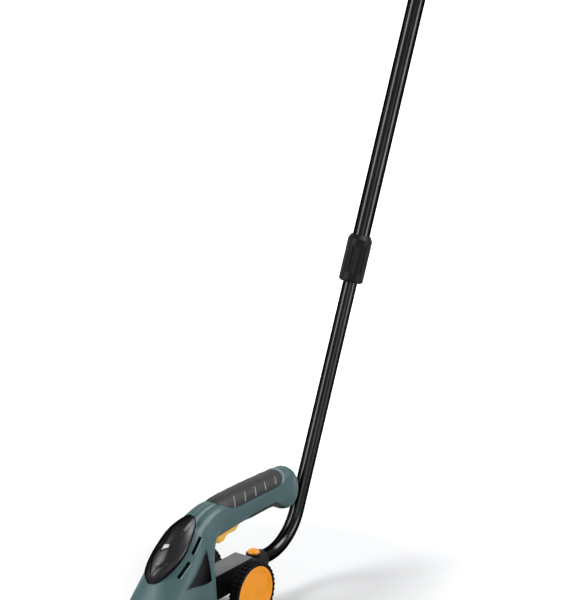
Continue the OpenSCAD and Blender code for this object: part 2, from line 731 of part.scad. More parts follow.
// Corners of one lug: place in its pitch and whether it stands proud
lug_corners = [[-0.5, 0], [-lug_foot, 0], [-lug_half, 1], [lug_half, 1], [lug_foot, 0]];
function lug_points() = let(p = 360 / lug_count) [for (i = [0:lug_count - 1], q = lug_corners)
    let(a = p * (i + q[0]) - 90, r = q[1] > 0 ? wheel_z / cos(lug_half * p) : wheel_z - lug_h)
        r * [cos(a), sin(a)]];
module tyre() {
    translate([wheel_in, 0, wheel_z]) rotate([90, 0, 90]) difference() {
        intersection() {
            linear_extrude(height = tyre_w) polygon(lug_points());
            rotate_extrude($fn = 96) polygon([[0, 0], [wheel_z - 2.2, 0], [wheel_z + 0.4, 2.6],
                [wheel_z + 0.4, tyre_w - 2.6], [wheel_z - 2.2, tyre_w], [0, tyre_w]]);
        }
        translate([0, 0, -1]) cylinder(r = rim_r + 0.02, h = tyre_w + 2, $fn = 96);
    }
}
module rim() {
    translate([wheel_in, 0, wheel_z]) rotate([90, 0, 90]) difference() {
        union() {
            cylinder(r = rim_r, h = tyre_w - 3.2, $fn = 96);
            translate([0, 0, -1.1]) cylinder(r = 7, h = 4);
        }
        translate([0, 0, 3]) difference() {
            cylinder(r = rim_r - 2.2, h = tyre_w, $fn = 96);
            translate([0, 0, -1]) cylinder(r = 7, h = tyre_w - 8.9);
        }
        translate([0, 0, -5]) cylinder(r = axle_r + run_gap, h = 30);
    }
}
module hubcap() {
    translate([wheel_in, 0, wheel_z]) rotate([90, 0, 90]) rotate_extrude($fn = 96)
        polygon([[0, tyre_w - 2.2], [rim_r - 4.5, tyre_w - 2.2], [rim_r - 3.2, tyre_w - 0.6],
            [rim_r - 2.6, tyre_w - 0.2], [rim_r - 0.6, tyre_w - 0.2], [rim_r - 0.1, tyre_w - 0.7],
            [rim_r - 0.1, tyre_w - 3.1],
            [rim_r - 2.4, tyre_w - 3.1], [rim_r - 2.4, tyre_w - 4], [0, tyre_w - 4]]);
}
module left_tyre() {
    color(black) shift() tyre();
}
module left_rim() {
    color(black) shift() rim();
}
module left_hubcap() {
    color(orange) shift() hubcap();
}
module right_tyre() {
    color(black) shift() mirror([1, 0, 0]) tyre();
}
module right_rim() {
    color(black) shift() mirror([1, 0, 0]) rim();
}
module right_hubcap() {
    color(orange) shift() mirror([1, 0, 0]) hubcap();
}

// Pole
// The straight runs lap a little into the bend, inside its wall
lap = 0.3;
lap_step = 0.06;
module tube_ring(step) {
    difference() {
        circle(r = tube_r - step);
        circle(r = tube_r - tube_wall + step);
    }
}
module lower_tube() {
    color(black) shift() difference() {
        union() {
            translate([0, tube_start, tube_z]) rotate([-90, 0, 0])
                linear_extrude(height = corner_y - bend_reach - tube_start + lap) tube_ring(lap_step);
            translate([0, corner_y - bend_reach, tube_z + bend_r]) rotate([0, 90, 0])
                rotate_extrude(angle = bend_turn) translate([bend_r, 0]) tube_ring(0);
            on_pole() translate([0, 0, bend_reach - lap])
                linear_extrude(height = lower_high - bend_reach + lap) tube_ring(lap_step);
        }
        upright(2.6, tube_z, 80, 0, button_y);
    }
}
module guide_plug() {
    color(dark) shift() on_pole() {
        translate([0, 0, lower_high - 12]) cylinder(r = tube_r - tube_wall - 0.05, h = 12.02);
        translate([0, 0, lower_high + 0.02]) cylinder(r = upper_r - upper_wall - run_gap, h = 6);
    }
}
button_low = boss_top - 0.2;
button_high = boss_top + 4.8;
dome_h = 3.2;
spring_room = [2.9, 4.4];
spring_top = button_high - 2.2;
spring_low = boss_floor + 0.4;
module release_button() {
    color(orange) shift() translate([0, button_y, 0]) {
        difference() {
            rotate_extrude() polygon(concat([[0, button_low], [button_r, button_low]],
                [for (a = [0:10:90]) [button_r * cos(a), button_high - dome_h * (1 - sin(a))]]));
            rotate_extrude() polygon([[spring_room[0], 0], [spring_room[1], 0], [spring_room[1], spring_top],
                [spring_room[0], spring_top]]);
        }
        translate([0, 0, tube_z + 2.5]) cylinder(r = button_pin_r, h = boss_top - tube_z - 2.5);
    }
}
module release_spring() {
    color(steel) shift() translate([0, button_y, spring_low])
        coil(3.6, 0.3, 3, spring_top - spring_low - 0.4);
}
module upper_tube() {
    color(black) shift() on_pole() difference() {
        translate([0, 0, upper_low]) cylinder(r = upper_r, h = upper_len);
        translate([0, 0, upper_low - 1]) cylinder(r = upper_r - upper_wall, h = upper_len + 2);
    }
}
module clamp_bush() {
    color(dark) shift() on_pole() translate([0, 0, collar_low + 4]) difference() {
        cylinder(r = upper_r - 0.3, h = upper_low - collar_low - 4.05);
        translate([0, 0, -1]) cylinder(r = tube_r + 0.1, h = 40);
    }
}
collar_r = 13.6;
flutes = 14;
module lock_collar() {
    color(black) shift() on_pole() translate([0, 0, collar_low]) difference() {
        rotate_extrude() polygon([[tube_r + 0.5, 0], [tube_r + 3.6, 0], [collar_r, 2.4],
            [collar_r, collar_len - 5], [upper_r + 1.2, collar_len], [upper_r + run_gap, collar_len],
            [upper_r + run_gap, 3.7], [tube_r + 0.5, 3.7]]);
        for (i = [0:flutes - 1]) rotate([0, 0, 360 / flutes * i]) translate([collar_r + 0.8, 0, 10])
            cylinder(r = 1.6, h = collar_len - 20, $fn = 16);
    }
}
// Grip at the top of the pole, turned about its axis
module grip_solid() {
    rotate_extrude() polygon(concat([[0, grip_low]], grip_out));
}
module grip_hollow() {
    hollow_r = grip_r - grip_wall - 0.8;
    hollow_high = knob_z + knob_r - 2.6;
    rotate_extrude() polygon([[0, grip_low - 1], [upper_r + fit_gap, grip_low - 1],
        [upper_r + fit_gap, grip_low + 10], [hollow_r, grip_low + 16], [hollow_r, knob_z + 4],
        [6, hollow_high], [0, hollow_high]]);
}
trig_low = grip_low + 30;
trig_len = 34;
switch_low = trig_low + 6;
switch_high = trig_low + trig_len - 2;
switch_half = 4;
grip_rib = grip_r - grip_wall - 0.4;
pole_pin_r = 1.15;
pole_pin_y = 10;
pole_pin_z = trig_low + trig_len - 4;
pole_lock_r = 4;
pole_trigger_half = 5;
module grip_half(side) {
    difference() {
        union() {
            difference() {
                grip_solid();
                grip_hollow();
            }
            box(-grip_rib, grip_rib, -3, 1, switch_low + 4, switch_high - 4);
        }
        box(-switch_half - fit_gap, switch_half + fit_gap, -10, 10, switch_low, switch_high);
        box(side > 0 ? -40 : 0, side > 0 ? 0 : 40, -40, 40, grip_low - 10, grip_high + 10);
        box(-5.4, 5.4, 5, 40, trig_low - 0.6, trig_low + trig_len + 0.6);
        translate([0, -40, trig_low + trig_len / 2]) rotate([-90, 0, 0])
            cylinder(r = pole_lock_r + run_gap, h = 30);
        along_x(pole_pin_r + 0.02, -11.4, 11.4, pole_pin_y, pole_pin_z);
    }
}
module grip_left() {
    color(black) shift() on_pole() grip_half(1);
}
module grip_right() {
    color(black) shift() on_pole() grip_half(-1);
}
module grip_sleeve() {
    color(dark) shift() on_pole() rotate_extrude() polygon([[grip_r + 0.1, grip_low + 76],
        [grip_r + 1.1, grip_low + 78], [grip_r + 1.4, grip_low + 94], [grip_r + 1.1, grip_low + 108],
        [grip_r + 0.1, grip_low + 110]]);
}
module grip_switch() {
    color(dark) shift() on_pole() box(-switch_half, switch_half, -5.5, 3.5, switch_low, switch_high);
}
module pole_trigger() {
    color(orange) shift() on_pole() difference() {
        side_plate([[7, trig_low], [17, trig_low + 1], [21, trig_low + 6], [20, trig_low + 18],
            [16.5, trig_low + trig_len], [7, trig_low + trig_len]],
            -pole_trigger_half, pole_trigger_half);
        along_x(pole_pin_r + run_gap, -20, 20, pole_pin_y, pole_pin_z);
    }
}
module pole_pin() {
    color(steel) shift() on_pole() along_x(pole_pin_r, -11.2, 11.2, pole_pin_y, pole_pin_z);
}
module pole_lock() {
    color(orange) shift() on_pole() translate([0, -19.2, trig_low + trig_len / 2]) rotate([-90, 0, 0])
        cylinder(r = pole_lock_r, h = 10);
}

left_housing();
right_housing();
front_pad();
charge_lamp();
upper_grip();
lower_grip();
left_badge();
right_badge();
housing_screws();
chassis_plate();
gear_cover();
gear_posts();
motor_can();
motor_armature();
motor_pinion();
drive_gear();
crank_shaft();
moving_blade();
fixed_blade();
blade_bolt();
blade_spacers();
blade_screws();
skid_shoe();
battery_cells();
battery_tray();
circuit_board();
power_switch();
charge_socket();
dock_sleeve();
trigger();
trigger_pin();
trigger_spring();
lock_button();
trolley_body();
trolley_cover();
trolley_screws();
axle();
axle_caps();
left_tyre();
left_rim();
left_hubcap();
right_tyre();
right_rim();
right_hubcap();
lower_tube();
guide_plug();
release_button();
release_spring();
upper_tube();
clamp_bush();
lock_collar();
grip_left();
grip_right();
grip_sleeve();
grip_switch();
pole_trigger();
pole_pin();
pole_lock();
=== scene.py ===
"""The looks of cordless grass shears on a wheeled trolley with a telescopic pole."""
import json
import math

import bmesh
import bpy
import numpy as np
from mathutils import Matrix, Vector


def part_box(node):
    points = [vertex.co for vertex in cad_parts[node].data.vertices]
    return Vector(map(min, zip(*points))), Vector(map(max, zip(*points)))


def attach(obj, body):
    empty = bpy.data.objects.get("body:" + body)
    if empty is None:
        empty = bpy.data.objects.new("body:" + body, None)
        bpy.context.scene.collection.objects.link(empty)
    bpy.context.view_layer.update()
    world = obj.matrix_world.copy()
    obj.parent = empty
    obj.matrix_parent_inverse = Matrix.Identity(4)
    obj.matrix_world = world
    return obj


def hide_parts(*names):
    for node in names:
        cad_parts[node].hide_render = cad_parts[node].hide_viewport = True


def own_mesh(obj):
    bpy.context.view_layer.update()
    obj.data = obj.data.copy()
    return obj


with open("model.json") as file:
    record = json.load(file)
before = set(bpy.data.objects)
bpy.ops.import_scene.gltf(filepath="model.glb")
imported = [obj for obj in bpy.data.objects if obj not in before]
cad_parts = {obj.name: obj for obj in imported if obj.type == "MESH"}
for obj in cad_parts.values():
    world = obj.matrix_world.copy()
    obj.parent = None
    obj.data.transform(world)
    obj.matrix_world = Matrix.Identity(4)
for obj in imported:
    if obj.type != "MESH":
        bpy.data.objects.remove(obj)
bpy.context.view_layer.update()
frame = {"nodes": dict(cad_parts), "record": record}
NODES = frame["nodes"]
NODE_SLOT = {sub["node"]: sub["material_slot"] for sub in frame["record"]["subparts"]}

# Pieces are measured in millimetres in the axle's frame: Y from the axle, Z from the floor
MM = 0.001
AXLE_LOW, AXLE_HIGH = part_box("axle")
AXLE_Y = (AXLE_LOW.y + AXLE_HIGH.y) / 2 / MM


# Geometry helpers

# Metres up to which points are one, in new meshes and in copied nodes, and an edge is nothing
WELD, NODE_WELD, NO_EDGE = 1e-7, 2e-6, 1e-8
# Angles in degrees up to which edges look smooth, in plain, cut and rounded meshes
SMOOTH_PLAIN, SMOOTH_CUT, SMOOTH_ROUND = 32, 38, 40
# Angle in degrees up to which neighbouring faces of a copied node become one
FLAT_ANGLE = 0.4
# Largest share of a line that a rounded corner takes, and its steps
CORNER_SHARE, CORNER_STEPS = 0.45, 4
BAR_SIDES = 48


def metres(points):
    """Axle-frame millimetres as part-frame metres."""
    return (np.asarray(points, float).reshape(-1, 3) + [0, AXLE_Y, 0]) * MM


def add_object(name, data):
    """A new object in the scene."""
    obj = bpy.data.objects.new(name, data)
    bpy.context.scene.collection.objects.link(obj)
    return obj


def add_mesh(name, points, faces):
    """A smooth mesh object from axle-frame millimetres, with outward faces."""
    mesh = bpy.data.meshes.new(name)
    mesh.from_pydata(metres(points).tolist(), [], [list(map(int, f)) for f in faces])
    obj = add_object(name, mesh)
    clean(obj)
    return obj


def clean(obj):
    """Joins doubled points and turns all faces outward."""
    bm = bmesh.new()
    bm.from_mesh(obj.data)
    bmesh.ops.remove_doubles(bm, verts=bm.verts, dist=WELD)
    bmesh.ops.dissolve_degenerate(bm, edges=bm.edges, dist=NO_EDGE)
    bmesh.ops.recalc_face_normals(bm, faces=bm.faces)
    bm.to_mesh(obj.data)
    bm.free()
    smooth(obj, SMOOTH_PLAIN)


def smooth(obj, angle):
    """Smooth shading that keeps edges sharper than the angle."""
    bm = bmesh.new()
    bm.from_mesh(obj.data)
    limit = math.radians(angle)
    for edge in bm.edges:
        edge.smooth = len(edge.link_faces) == 2 and edge.calc_face_angle(math.pi) < limit
    for face in bm.faces:
        face.smooth = True
    bm.to_mesh(obj.data)
    bm.free()


def close_holes(obj):
    """Fills any open rim of a mesh."""
    bm = bmesh.new()
    bm.from_mesh(obj.data)
    bmesh.ops.holes_fill(bm, edges=[e for e in bm.edges if len(e.link_faces) == 1])
    bmesh.ops.recalc_face_normals(bm, faces=bm.faces)
    bm.to_mesh(obj.data)
    bm.free()
    smooth(obj, SMOOTH_PLAIN)


def bake_modifiers(obj):
    """Turns an object's modifiers into its own mesh."""
    depsgraph = bpy.context.evaluated_depsgraph_get()
    mesh = bpy.data.meshes.new_from_object(obj.evaluated_get(depsgraph))
    obj.modifiers.clear()
    obj.data = mesh


def bevel(obj, width, segments, angle):
    """Rounds edges sharper than an angle by a width in millimetres."""
    mod = obj.modifiers.new("round", "BEVEL")
    mod.width = width * MM
    mod.segments = segments
    mod.limit_method = "ANGLE"
    mod.angle_limit = math.radians(angle)
    mod.use_clamp_overlap = True
    bake_modifiers(obj)
    smooth(obj, SMOOTH_ROUND)


def cut(obj, cutters):
    """Takes closed cutter objects away from an object."""
    for cutter in cutters:
        mod = obj.modifiers.new("cut", "BOOLEAN")
        mod.operation = "DIFFERENCE"
        mod.solver = "MANIFOLD"
        mod.object = cutter
        bake_modifiers(obj)
        bpy.data.objects.remove(cutter)
    smooth(obj, SMOOTH_CUT)


def joined(name, objs):
    """Several loose meshes as one object."""
    bm = bmesh.new()
    for obj in objs:
        bm.from_mesh(obj.data)
        bpy.data.objects.remove(obj)
    mesh = bpy.data.meshes.new(name)
    bm.to_mesh(mesh)
    bm.free()
    return add_object(name, mesh)


def copy_node(name, node, width, segments=2, angle=30):
    """A new piece with a node's own shape and rounded edges."""
    mesh = bpy.data.meshes.new(name)
    bm = bmesh.new()
    bm.from_mesh(NODES[node].data)
    bmesh.ops.remove_doubles(bm, verts=bm.verts, dist=NODE_WELD)
    bmesh.ops.dissolve_limit(bm, angle_limit=math.radians(FLAT_ANGLE), verts=bm.verts, edges=bm.edges)
    bm.to_mesh(mesh)
    bm.free()
    obj = add_object(name, mesh)
    bevel(obj, width, segments, angle)
    return obj


def grid_values(first, second):
    """One value along a grid's rows and one along its columns, as two arrays."""
    return np.meshgrid(first, second, indexing="ij")


def grid_faces(rows, cols, close_rows=False, close_cols=False):
    """Quads over a grid of points that may close on itself."""
    faces = []
    for i in range(rows if close_rows else rows - 1):
        for j in range(cols if close_cols else cols - 1):
            k, m = (i + 1) % rows, (j + 1) % cols
            faces.append((i * cols + j, i * cols + m, k * cols + m, k * cols + j))
    return faces


def slab(name, outer, inner):
    """A closed solid between two equal grids of points."""
    rows, cols = outer.shape[:2]
    skip = rows * cols
    faces = grid_faces(rows, cols)
    faces += [tuple(skip + v for v in reversed(f)) for f in grid_faces(rows, cols)]
    rim = list(range(cols))
    rim += [i * cols + cols - 1 for i in range(1, rows)]
    rim += [(rows - 1) * cols + j for j in range(cols - 2, -1, -1)]
    rim += [i * cols for i in range(rows - 2, 0, -1)]
    for a, b in zip(rim, rim[1:] + rim[:1]):
        faces.append((b, a, a + skip, b + skip))
    return add_mesh(name, np.concatenate([outer.reshape(-1, 3), inner.reshape(-1, 3)]), faces)


def rounded(outline, radius):
    """An outline whose corners, apart from its two ends, are drawn as short curves."""
    pts = [np.array(p, float) for p in outline]
    out = [pts[0]]
    for before, corner, after in zip(pts, pts[1:], pts[2:]):
        to_a, to_b = before - corner, after - corner
        la, lb = np.linalg.norm(to_a), np.linalg.norm(to_b)
        a = corner + to_a / la * min(radius, CORNER_SHARE * la)
        b = corner + to_b / lb * min(radius, CORNER_SHARE * lb)
        for t in np.linspace(0, 1, CORNER_STEPS + 1):
            out.append((1 - t) ** 2 * a + 2 * t * (1 - t) * corner + t * t * b)
    out.append(pts[-1])
    return np.array(out)


def lathe(name, outline, basis, segments, wave=None):
    """A turned solid: outline of (radius, height) about the basis' own Z axis."""
    outline = np.asarray(outline, float)
    turn = np.linspace(0, 2 * math.pi, segments, endpoint=False)
    r = np.repeat(outline[None, :, 0], segments, 0)
    h = np.repeat(outline[None, :, 1], segments, 0)
    if wave is not None:
        r = wave(r, h, turn[:, None])
    local = np.stack([r * np.cos(turn)[:, None], r * np.sin(turn)[:, None], h], -1)
    points = local.reshape(-1, 3) @ np.array(basis.to_3x3()).T + np.array(basis.translation)
    obj = add_mesh(name, points, grid_faces(segments, len(outline), close_rows=True))
    if not np.allclose(outline[0], outline[-1]):
        close_holes(obj)
    return obj


def sweep(name, path, radius, sides, closed=False):
    """A round tube along a path of points."""
    path = np.asarray(path, float)
    ahead = np.roll(path, -1, 0) - np.roll(path, 1, 0)
    if not closed:
        ahead[0] = path[1] - path[0]
        ahead[-1] = path[-1] - path[-2]
    ahead /= np.linalg.norm(ahead, axis=1)[:, None]
    side = np.cross(ahead[0], [1, 0, 0] if abs(ahead[0][0]) < 0.9 else [0, 0, 1])
    turn = np.linspace(0, 2 * math.pi, sides, endpoint=False)[:, None]
    rings = []
    for at, axis in zip(path, ahead):
        side = side - axis * (side @ axis)
        side /= np.linalg.norm(side)
        rings.append(at + radius * (np.cos(turn) * side + np.sin(turn) * np.cross(axis, side)))
    obj = add_mesh(name, np.concatenate(rings), grid_faces(len(path), sides, closed, True))
    if not closed:
        close_holes(obj)
    return obj


def box_cutter(low, high):
    """A plain box between two corners, only ever used to cut."""
    x, y, z = zip(low, high)
    points = [(a, b, c) for a in x for b in y for c in z]
    faces = [(0, 1, 3, 2), (4, 6, 7, 5), (0, 4, 5, 1), (2, 3, 7, 6), (0, 2, 6, 4), (1, 5, 7, 3)]
    return add_mesh("cutter", points, faces)


def bar_cutter(axis, at, r, start, end):
    """A cylinder along X or Y, only ever used to cut."""
    turn = Matrix.Rotation(math.pi / 2, 4, "Y") if axis == "X" else Matrix.Rotation(-math.pi / 2, 4, "X")
    place = Matrix.Translation(Vector(at)) @ turn
    return lathe("cutter", [(0, start), (r, start), (r, end), (0, end)], place, BAR_SIDES)


def between(a, b, f):
    """The value at share f of the way from a to b."""
    return a + (b - a) * f


def mirrored(points, side):
    """Points of the left side, on side 1 for the left or -1 for the right."""
    return points * [side, 1, 1]


def power(v, e):
    """A power that keeps the sign."""
    return np.sign(v) * np.abs(v) ** e


def bump(x, width):
    """A bell of height 1 about 0."""
    return np.exp(-(x / width) ** 2)


def step(x, low, high):
    """A soft step from 0 at low to 1 at high."""
    t = np.clip((x - low) / (high - low), 0, 1)
    return t * t * (3 - 2 * t)


def rolled(edge, sharp):
    """1 inside a border, falling round to 0 where edge is 1."""
    return np.sqrt(np.maximum(0, 1 - edge ** sharp))


# Materials

# Texture scales in cells a metre, bump distances in metres
PATCH, GLOSS_PATCH, GRAIN, PEBBLES, GRIP_PATCH, STREAKS = 30.0, 150.0, 2600.0, 900.0, 45.0, 60.0
GRAIN_UP, PEBBLE_UP, STREAK_UP = 0.0002, 0.0003, 0.0001
PEBBLE_DEPTH, STREAK_DEPTH = 0.5, 0.12
NOISE_ROUGH = 0.55
TONE_DETAIL, GLOSS_DETAIL, GRAIN_DETAIL = 4.0, 5.0, 2.0
# Noise values that get the dark and the light tone
TONE_LOW, TONE_HIGH = 0.3, 0.7
# How far the roughness goes below and above its middle
MOULDED_SPREAD, PEBBLED_SPREAD, METAL_SPREAD = (0.06, 0.06), (0.08, 0.1), (0.08, 0.12)
METAL_DARK = 0.8
EVEN_TINT = (0.1, 0.1, 0.1, 1.0)


def srgb(r, g, b):
    """A colour given in display values, as linear light."""
    out = []
    for v in (r, g, b):
        c = v / 255
        out.append(c / 12.92 if c <= 0.04045 else ((c + 0.055) / 1.055) ** 2.4)
    return (*out, 1.0)


def new_material(name):
    """A material with its nodes, links, shader and object coordinates."""
    mat = bpy.data.materials.new(name)
    mat.use_nodes = True
    nodes, links = mat.node_tree.nodes, mat.node_tree.links
    shader = next(n for n in nodes if n.type == "BSDF_PRINCIPLED")
    coords = nodes.new("ShaderNodeTexCoord")
    return mat, nodes, links, shader, coords.outputs["Object"]


def noise(nodes, links, coords, scale, detail):
    """A noise value between 0 and 1."""
    node = nodes.new("ShaderNodeTexNoise")
    node.inputs["Scale"].default_value = scale
    node.inputs["Detail"].default_value = detail
    node.inputs["Roughness"].default_value = NOISE_ROUGH
    links.new(coords, node.inputs["Vector"])
    return node.outputs["Fac"]


def add_tone(nodes, links, shader, value, dark, light):
    """Lets a value choose between two colours."""
    node = nodes.new("ShaderNodeValToRGB")
    node.color_ramp.elements[0].position = TONE_LOW
    node.color_ramp.elements[1].position = TONE_HIGH
    node.color_ramp.elements[0].color = dark
    node.color_ramp.elements[1].color = light
    links.new(value, node.inputs["Fac"])
    links.new(node.outputs["Color"], shader.inputs["Base Color"])


def add_gloss(nodes, links, shader, value, rough, spread):
    """Lets a value vary the roughness about its middle."""
    node = nodes.new("ShaderNodeMapRange")
    node.inputs["To Min"].default_value = rough - spread[0]
    node.inputs["To Max"].default_value = rough + spread[1]
    links.new(value, node.inputs["Value"])
    links.new(node.outputs["Result"], shader.inputs["Roughness"])


def add_bump(nodes, links, shader, height, strength, distance):
    """Lets a value tilt the surface."""
    node = nodes.new("ShaderNodeBump")
    node.inputs["Strength"].default_value = strength
    node.inputs["Distance"].default_value = distance
    links.new(height, node.inputs["Height"])
    links.new(node.outputs["Normal"], shader.inputs["Normal"])


def moulded(name, dark, light, rough, depth, grain=GRAIN, spec=0.5, even=False):
    """Fine grain with patches of tone and gloss; an even surface has no bright rim."""
    mat, nodes, links, shader, coords = new_material(name)
    add_tone(nodes, links, shader, noise(nodes, links, coords, PATCH, TONE_DETAIL), dark, light)
    gloss = noise(nodes, links, coords, GLOSS_PATCH, GLOSS_DETAIL)
    add_gloss(nodes, links, shader, gloss, rough, MOULDED_SPREAD)
    shader.inputs["Specular IOR Level"].default_value = spec
    if even:
        shader.inputs["Metallic"].default_value = 1.0
        shader.inputs["Specular Tint"].default_value = EVEN_TINT
    add_bump(nodes, links, shader, noise(nodes, links, coords, grain, GRAIN_DETAIL), depth, GRAIN_UP)
    return mat


def pebbled(name, dark, light, rough, spec):
    """Soft-touch rubber with a pebbled skin."""
    mat, nodes, links, shader, coords = new_material(name)
    shader.inputs["Specular IOR Level"].default_value = spec
    cells = nodes.new("ShaderNodeTexVoronoi")
    cells.feature = "SMOOTH_F1"
    cells.inputs["Scale"].default_value = PEBBLES
    links.new(coords, cells.inputs["Vector"])
    add_tone(nodes, links, shader, noise(nodes, links, coords, GRIP_PATCH, TONE_DETAIL), dark, light)
    add_gloss(nodes, links, shader, cells.outputs["Distance"], rough, PEBBLED_SPREAD)
    add_bump(nodes, links, shader, cells.outputs["Distance"], PEBBLE_DEPTH, PEBBLE_UP)
    return mat


def metal(name, colour, rough, stretch=(1.0, 40.0, 40.0)):
    """Brushed or drawn metal with streaks along one axis."""
    mat, nodes, links, shader, coords = new_material(name)
    shader.inputs["Metallic"].default_value = 1.0
    place = nodes.new("ShaderNodeMapping")
    place.inputs["Scale"].default_value = stretch
    links.new(coords, place.inputs["Vector"])
    lines = noise(nodes, links, place.outputs["Vector"], STREAKS, TONE_DETAIL)
    dark = tuple(METAL_DARK * c for c in colour[:3]) + (1.0,)
    add_tone(nodes, links, shader, lines, dark, colour)
    add_gloss(nodes, links, shader, lines, rough, METAL_SPREAD)
    add_bump(nodes, links, shader, lines, STREAK_DEPTH, STREAK_UP)
    return mat


TEAL = moulded("teal_plastic", srgb(53, 81, 83), srgb(61, 90, 92), 0.47, depth=0.16, spec=0.16)
# Lighter copy of the teal for the vent lips and the handle bead: a painted highlight along those edges
TEAL_PAINTED_HIGHLIGHT = moulded("teal_painted_highlight", srgb(96, 124, 126), srgb(110, 138, 140), 0.4, depth=0.1, spec=0.3)
PAD_BLACK = moulded("gloss_black", srgb(30, 30, 31), srgb(36, 36, 37), 0.36, depth=0.06, even=True)
BADGE = moulded("badge_black", srgb(15, 15, 16), srgb(20, 20, 21), 0.35, depth=0.05, even=True)
LAMP = moulded("lamp_white", srgb(172, 177, 180), srgb(190, 194, 197), 0.25, depth=0.04, spec=0.3)
GRIP = pebbled("soft_grip", srgb(20, 19, 22), srgb(28, 27, 30), 0.55, spec=0.13)
RIB = moulded("grip_rib", srgb(88, 88, 92), srgb(104, 104, 108), 0.45, depth=0.1, spec=0.3)
BEAM = moulded("black_plastic", srgb(8, 8, 9), srgb(14, 14, 15), 0.45, depth=0.3, grain=1800, spec=0.06)
# Lighter grey for the beam's upward faces: a painted highlight of the lamps on its top, with a higher
# specular that also reflects them
BEAM_PAINTED_HIGHLIGHT = moulded("beam_top_painted_highlight", srgb(46, 46, 48), srgb(54, 54, 56), 0.42, depth=0.25, grain=1800, spec=0.25)
ORANGE = moulded("orange_plastic", srgb(240, 149, 14), srgb(248, 159, 24), 0.36, depth=0.1, spec=0.18)
# Brighter, yellower copy of the orange for the trigger: painted light that brightens it where the lamps
# leave it in shade
ORANGE_PAINTED_LIGHT = moulded("orange_painted_light", srgb(255, 190, 62), srgb(255, 198, 74), 0.36, depth=0.1, spec=0.2)
TYRE = moulded("tyre_black", srgb(9, 9, 10), srgb(16, 16, 17), 0.68, depth=0.5, grain=1500, spec=0.05)
COAT = moulded("black_tube", srgb(26, 26, 27), srgb(31, 31, 32), 0.2, depth=0.05, grain=900, even=True)
STEEL = metal("steel", (0.5, 0.51, 0.52, 1.0), 0.3)
BLADE = metal("blade_steel", (0.42, 0.43, 0.45, 1.0), 0.26, stretch=(40.0, 1.0, 40.0))
BRASS = metal("brass", (0.72, 0.55, 0.25, 1.0), 0.3)
WRAP = moulded("cell_wrap", srgb(60, 100, 140), srgb(72, 112, 152), 0.3, depth=0.05)
BOARD = moulded("board_green", srgb(22, 84, 48), srgb(30, 98, 58), 0.4, depth=0.1)

SLOT_MATERIALS = {
    "teal_plastic": TEAL, "gloss_black": PAD_BLACK, "lamp_white": LAMP, "soft_grip": GRIP,
    "black_plastic": BEAM, "orange_plastic": ORANGE, "tyre_black": TYRE, "steel": STEEL, "brass": BRASS,
    "black_tube": COAT, "cell_wrap": WRAP, "board_green": BOARD,
}


def dress(obj, body, material, replaces=()):
    """Gives a piece its material, its body and the nodes it stands for."""
    obj.data.materials.clear()
    obj.data.materials.append(material)
    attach(obj, body)
    if replaces:
        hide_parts(*replaces)
    return obj


def dress_nodes():
    """Nodes that stay take their slot's material, and the blades one of their own."""
    for node, obj in NODES.items():
        obj.data.materials.clear()
        obj.data.materials.append(SLOT_MATERIALS[NODE_SLOT[node]])
    for node in ("moving_blade", "fixed_blade"):
        NODES[node].data.materials[0] = BLADE


# The housing's surface: a point has a place s along the stations and an angle a in degrees,
# with 0 on the flank and 90 on top

# Top y, top z, bottom y, bottom z, half width, upper and lower exponent of each station
STATIONS = np.array([
    [-176, 20, -172, 2, 30, 2.4, 3],
    [-163, 42, -156, -14, 36, 2.3, 3],
    [-147, 65, -132, -22, 37.5, 2.1, 3.2],
    [-127.5, 88, -104, -20, 37.5, 2, 3.4],
    [-106, 111, -66, -4, 36.5, 2, 4.2],
    [-85, 128, -54.5, 29, 33, 2, 4],
    [-63, 137.5, -53, 61, 26.5, 2, 2.8],
    [-42, 143.3, -50, 86, 21.5, 2.1, 2.2],
    [-20, 145.2, -40, 100, 18.7, 2.2, 2.2],
    [5, 145.4, 2, 103.5, 17.5, 2.2, 2.2],
    [40, 144.4, 38, 105, 17.5, 2.2, 2.2],
    [75, 142.3, 70, 105, 17.5, 2.2, 2.2],
    [98, 141.6, 86, 101, 17.5, 2.2, 2.2],
    [112, 139.3, 97, 95, 17, 2.2, 2.2],
    [121, 130.8, 107, 91.5, 15, 2.2, 2.2],
    [125, 120, 117, 99, 9, 2.2, 2.2],
], float)
LAST = len(STATIONS) - 1

# Lines of the moulded shoulder and of the groove above it, as place and angle
SHOULDER = np.array([(0.6, 56), (1.8, 52), (2.8, 48), (3.4, 46.5), (4.2, 45), (5.0, 45), (5.35, 48),
                     (5.66, 52), (6.03, 52), (6.49, 48.8), (6.99, 46), (7.46, 44), (7.93, 39), (8.38, 29)])
GROOVE = np.array([(5.74, 69.2), (6.25, 74.8), (6.9, 74), (7.55, 71.6), (7.98, 64.4)])
# Places over which they start and end, and spreads in degrees: the shoulder's above and below its line
SHOULDER_START, SHOULDER_END, SHOULDER_WIDE = (0.4, 1.8), (7.6, 8.5), (16, 10)
GROOVE_START, GROOVE_END, GROOVE_WIDE = (5.4, 6.1), (7.4, 8.1), 7
SEAM_WIDE = 0.7
# Places and angles over which the end of the butt is set in
BUTT_PLACE, BUTT_ANGLE = (12.4, 13.4), (-20, 30)
SHOULDER_H, GROOVE_DEEP, SEAM_DEEP, BUTT_DEEP = 1.75, 1.7, 0.06, 1.4
# How far the top line lies below the plain surface, by place, and the angles over which that grows
SAG = np.array([(5.4, 0), (6.0, 1.5), (7.5, 1.5), (8.5, 1.1), (11.5, 1.0), (12.6, 0.2)])
SAG_ANGLE = (20, 55)


def station(s):
    """The housing's section values at place s, on a smooth curve through the stations."""
    s = np.asarray(s, float)
    i = np.clip(np.floor(s).astype(int), 0, LAST - 1)
    f = (s - i)[..., None]
    a, b, c, d = (STATIONS[np.clip(i + k, 0, LAST)] for k in (-1, 0, 1, 2))
    return 0.5 * (2 * b + (c - a) * f + (2 * a - 5 * b + 4 * c - d) * f ** 2
                  + (3 * b - a - 3 * c + d) * f ** 3)


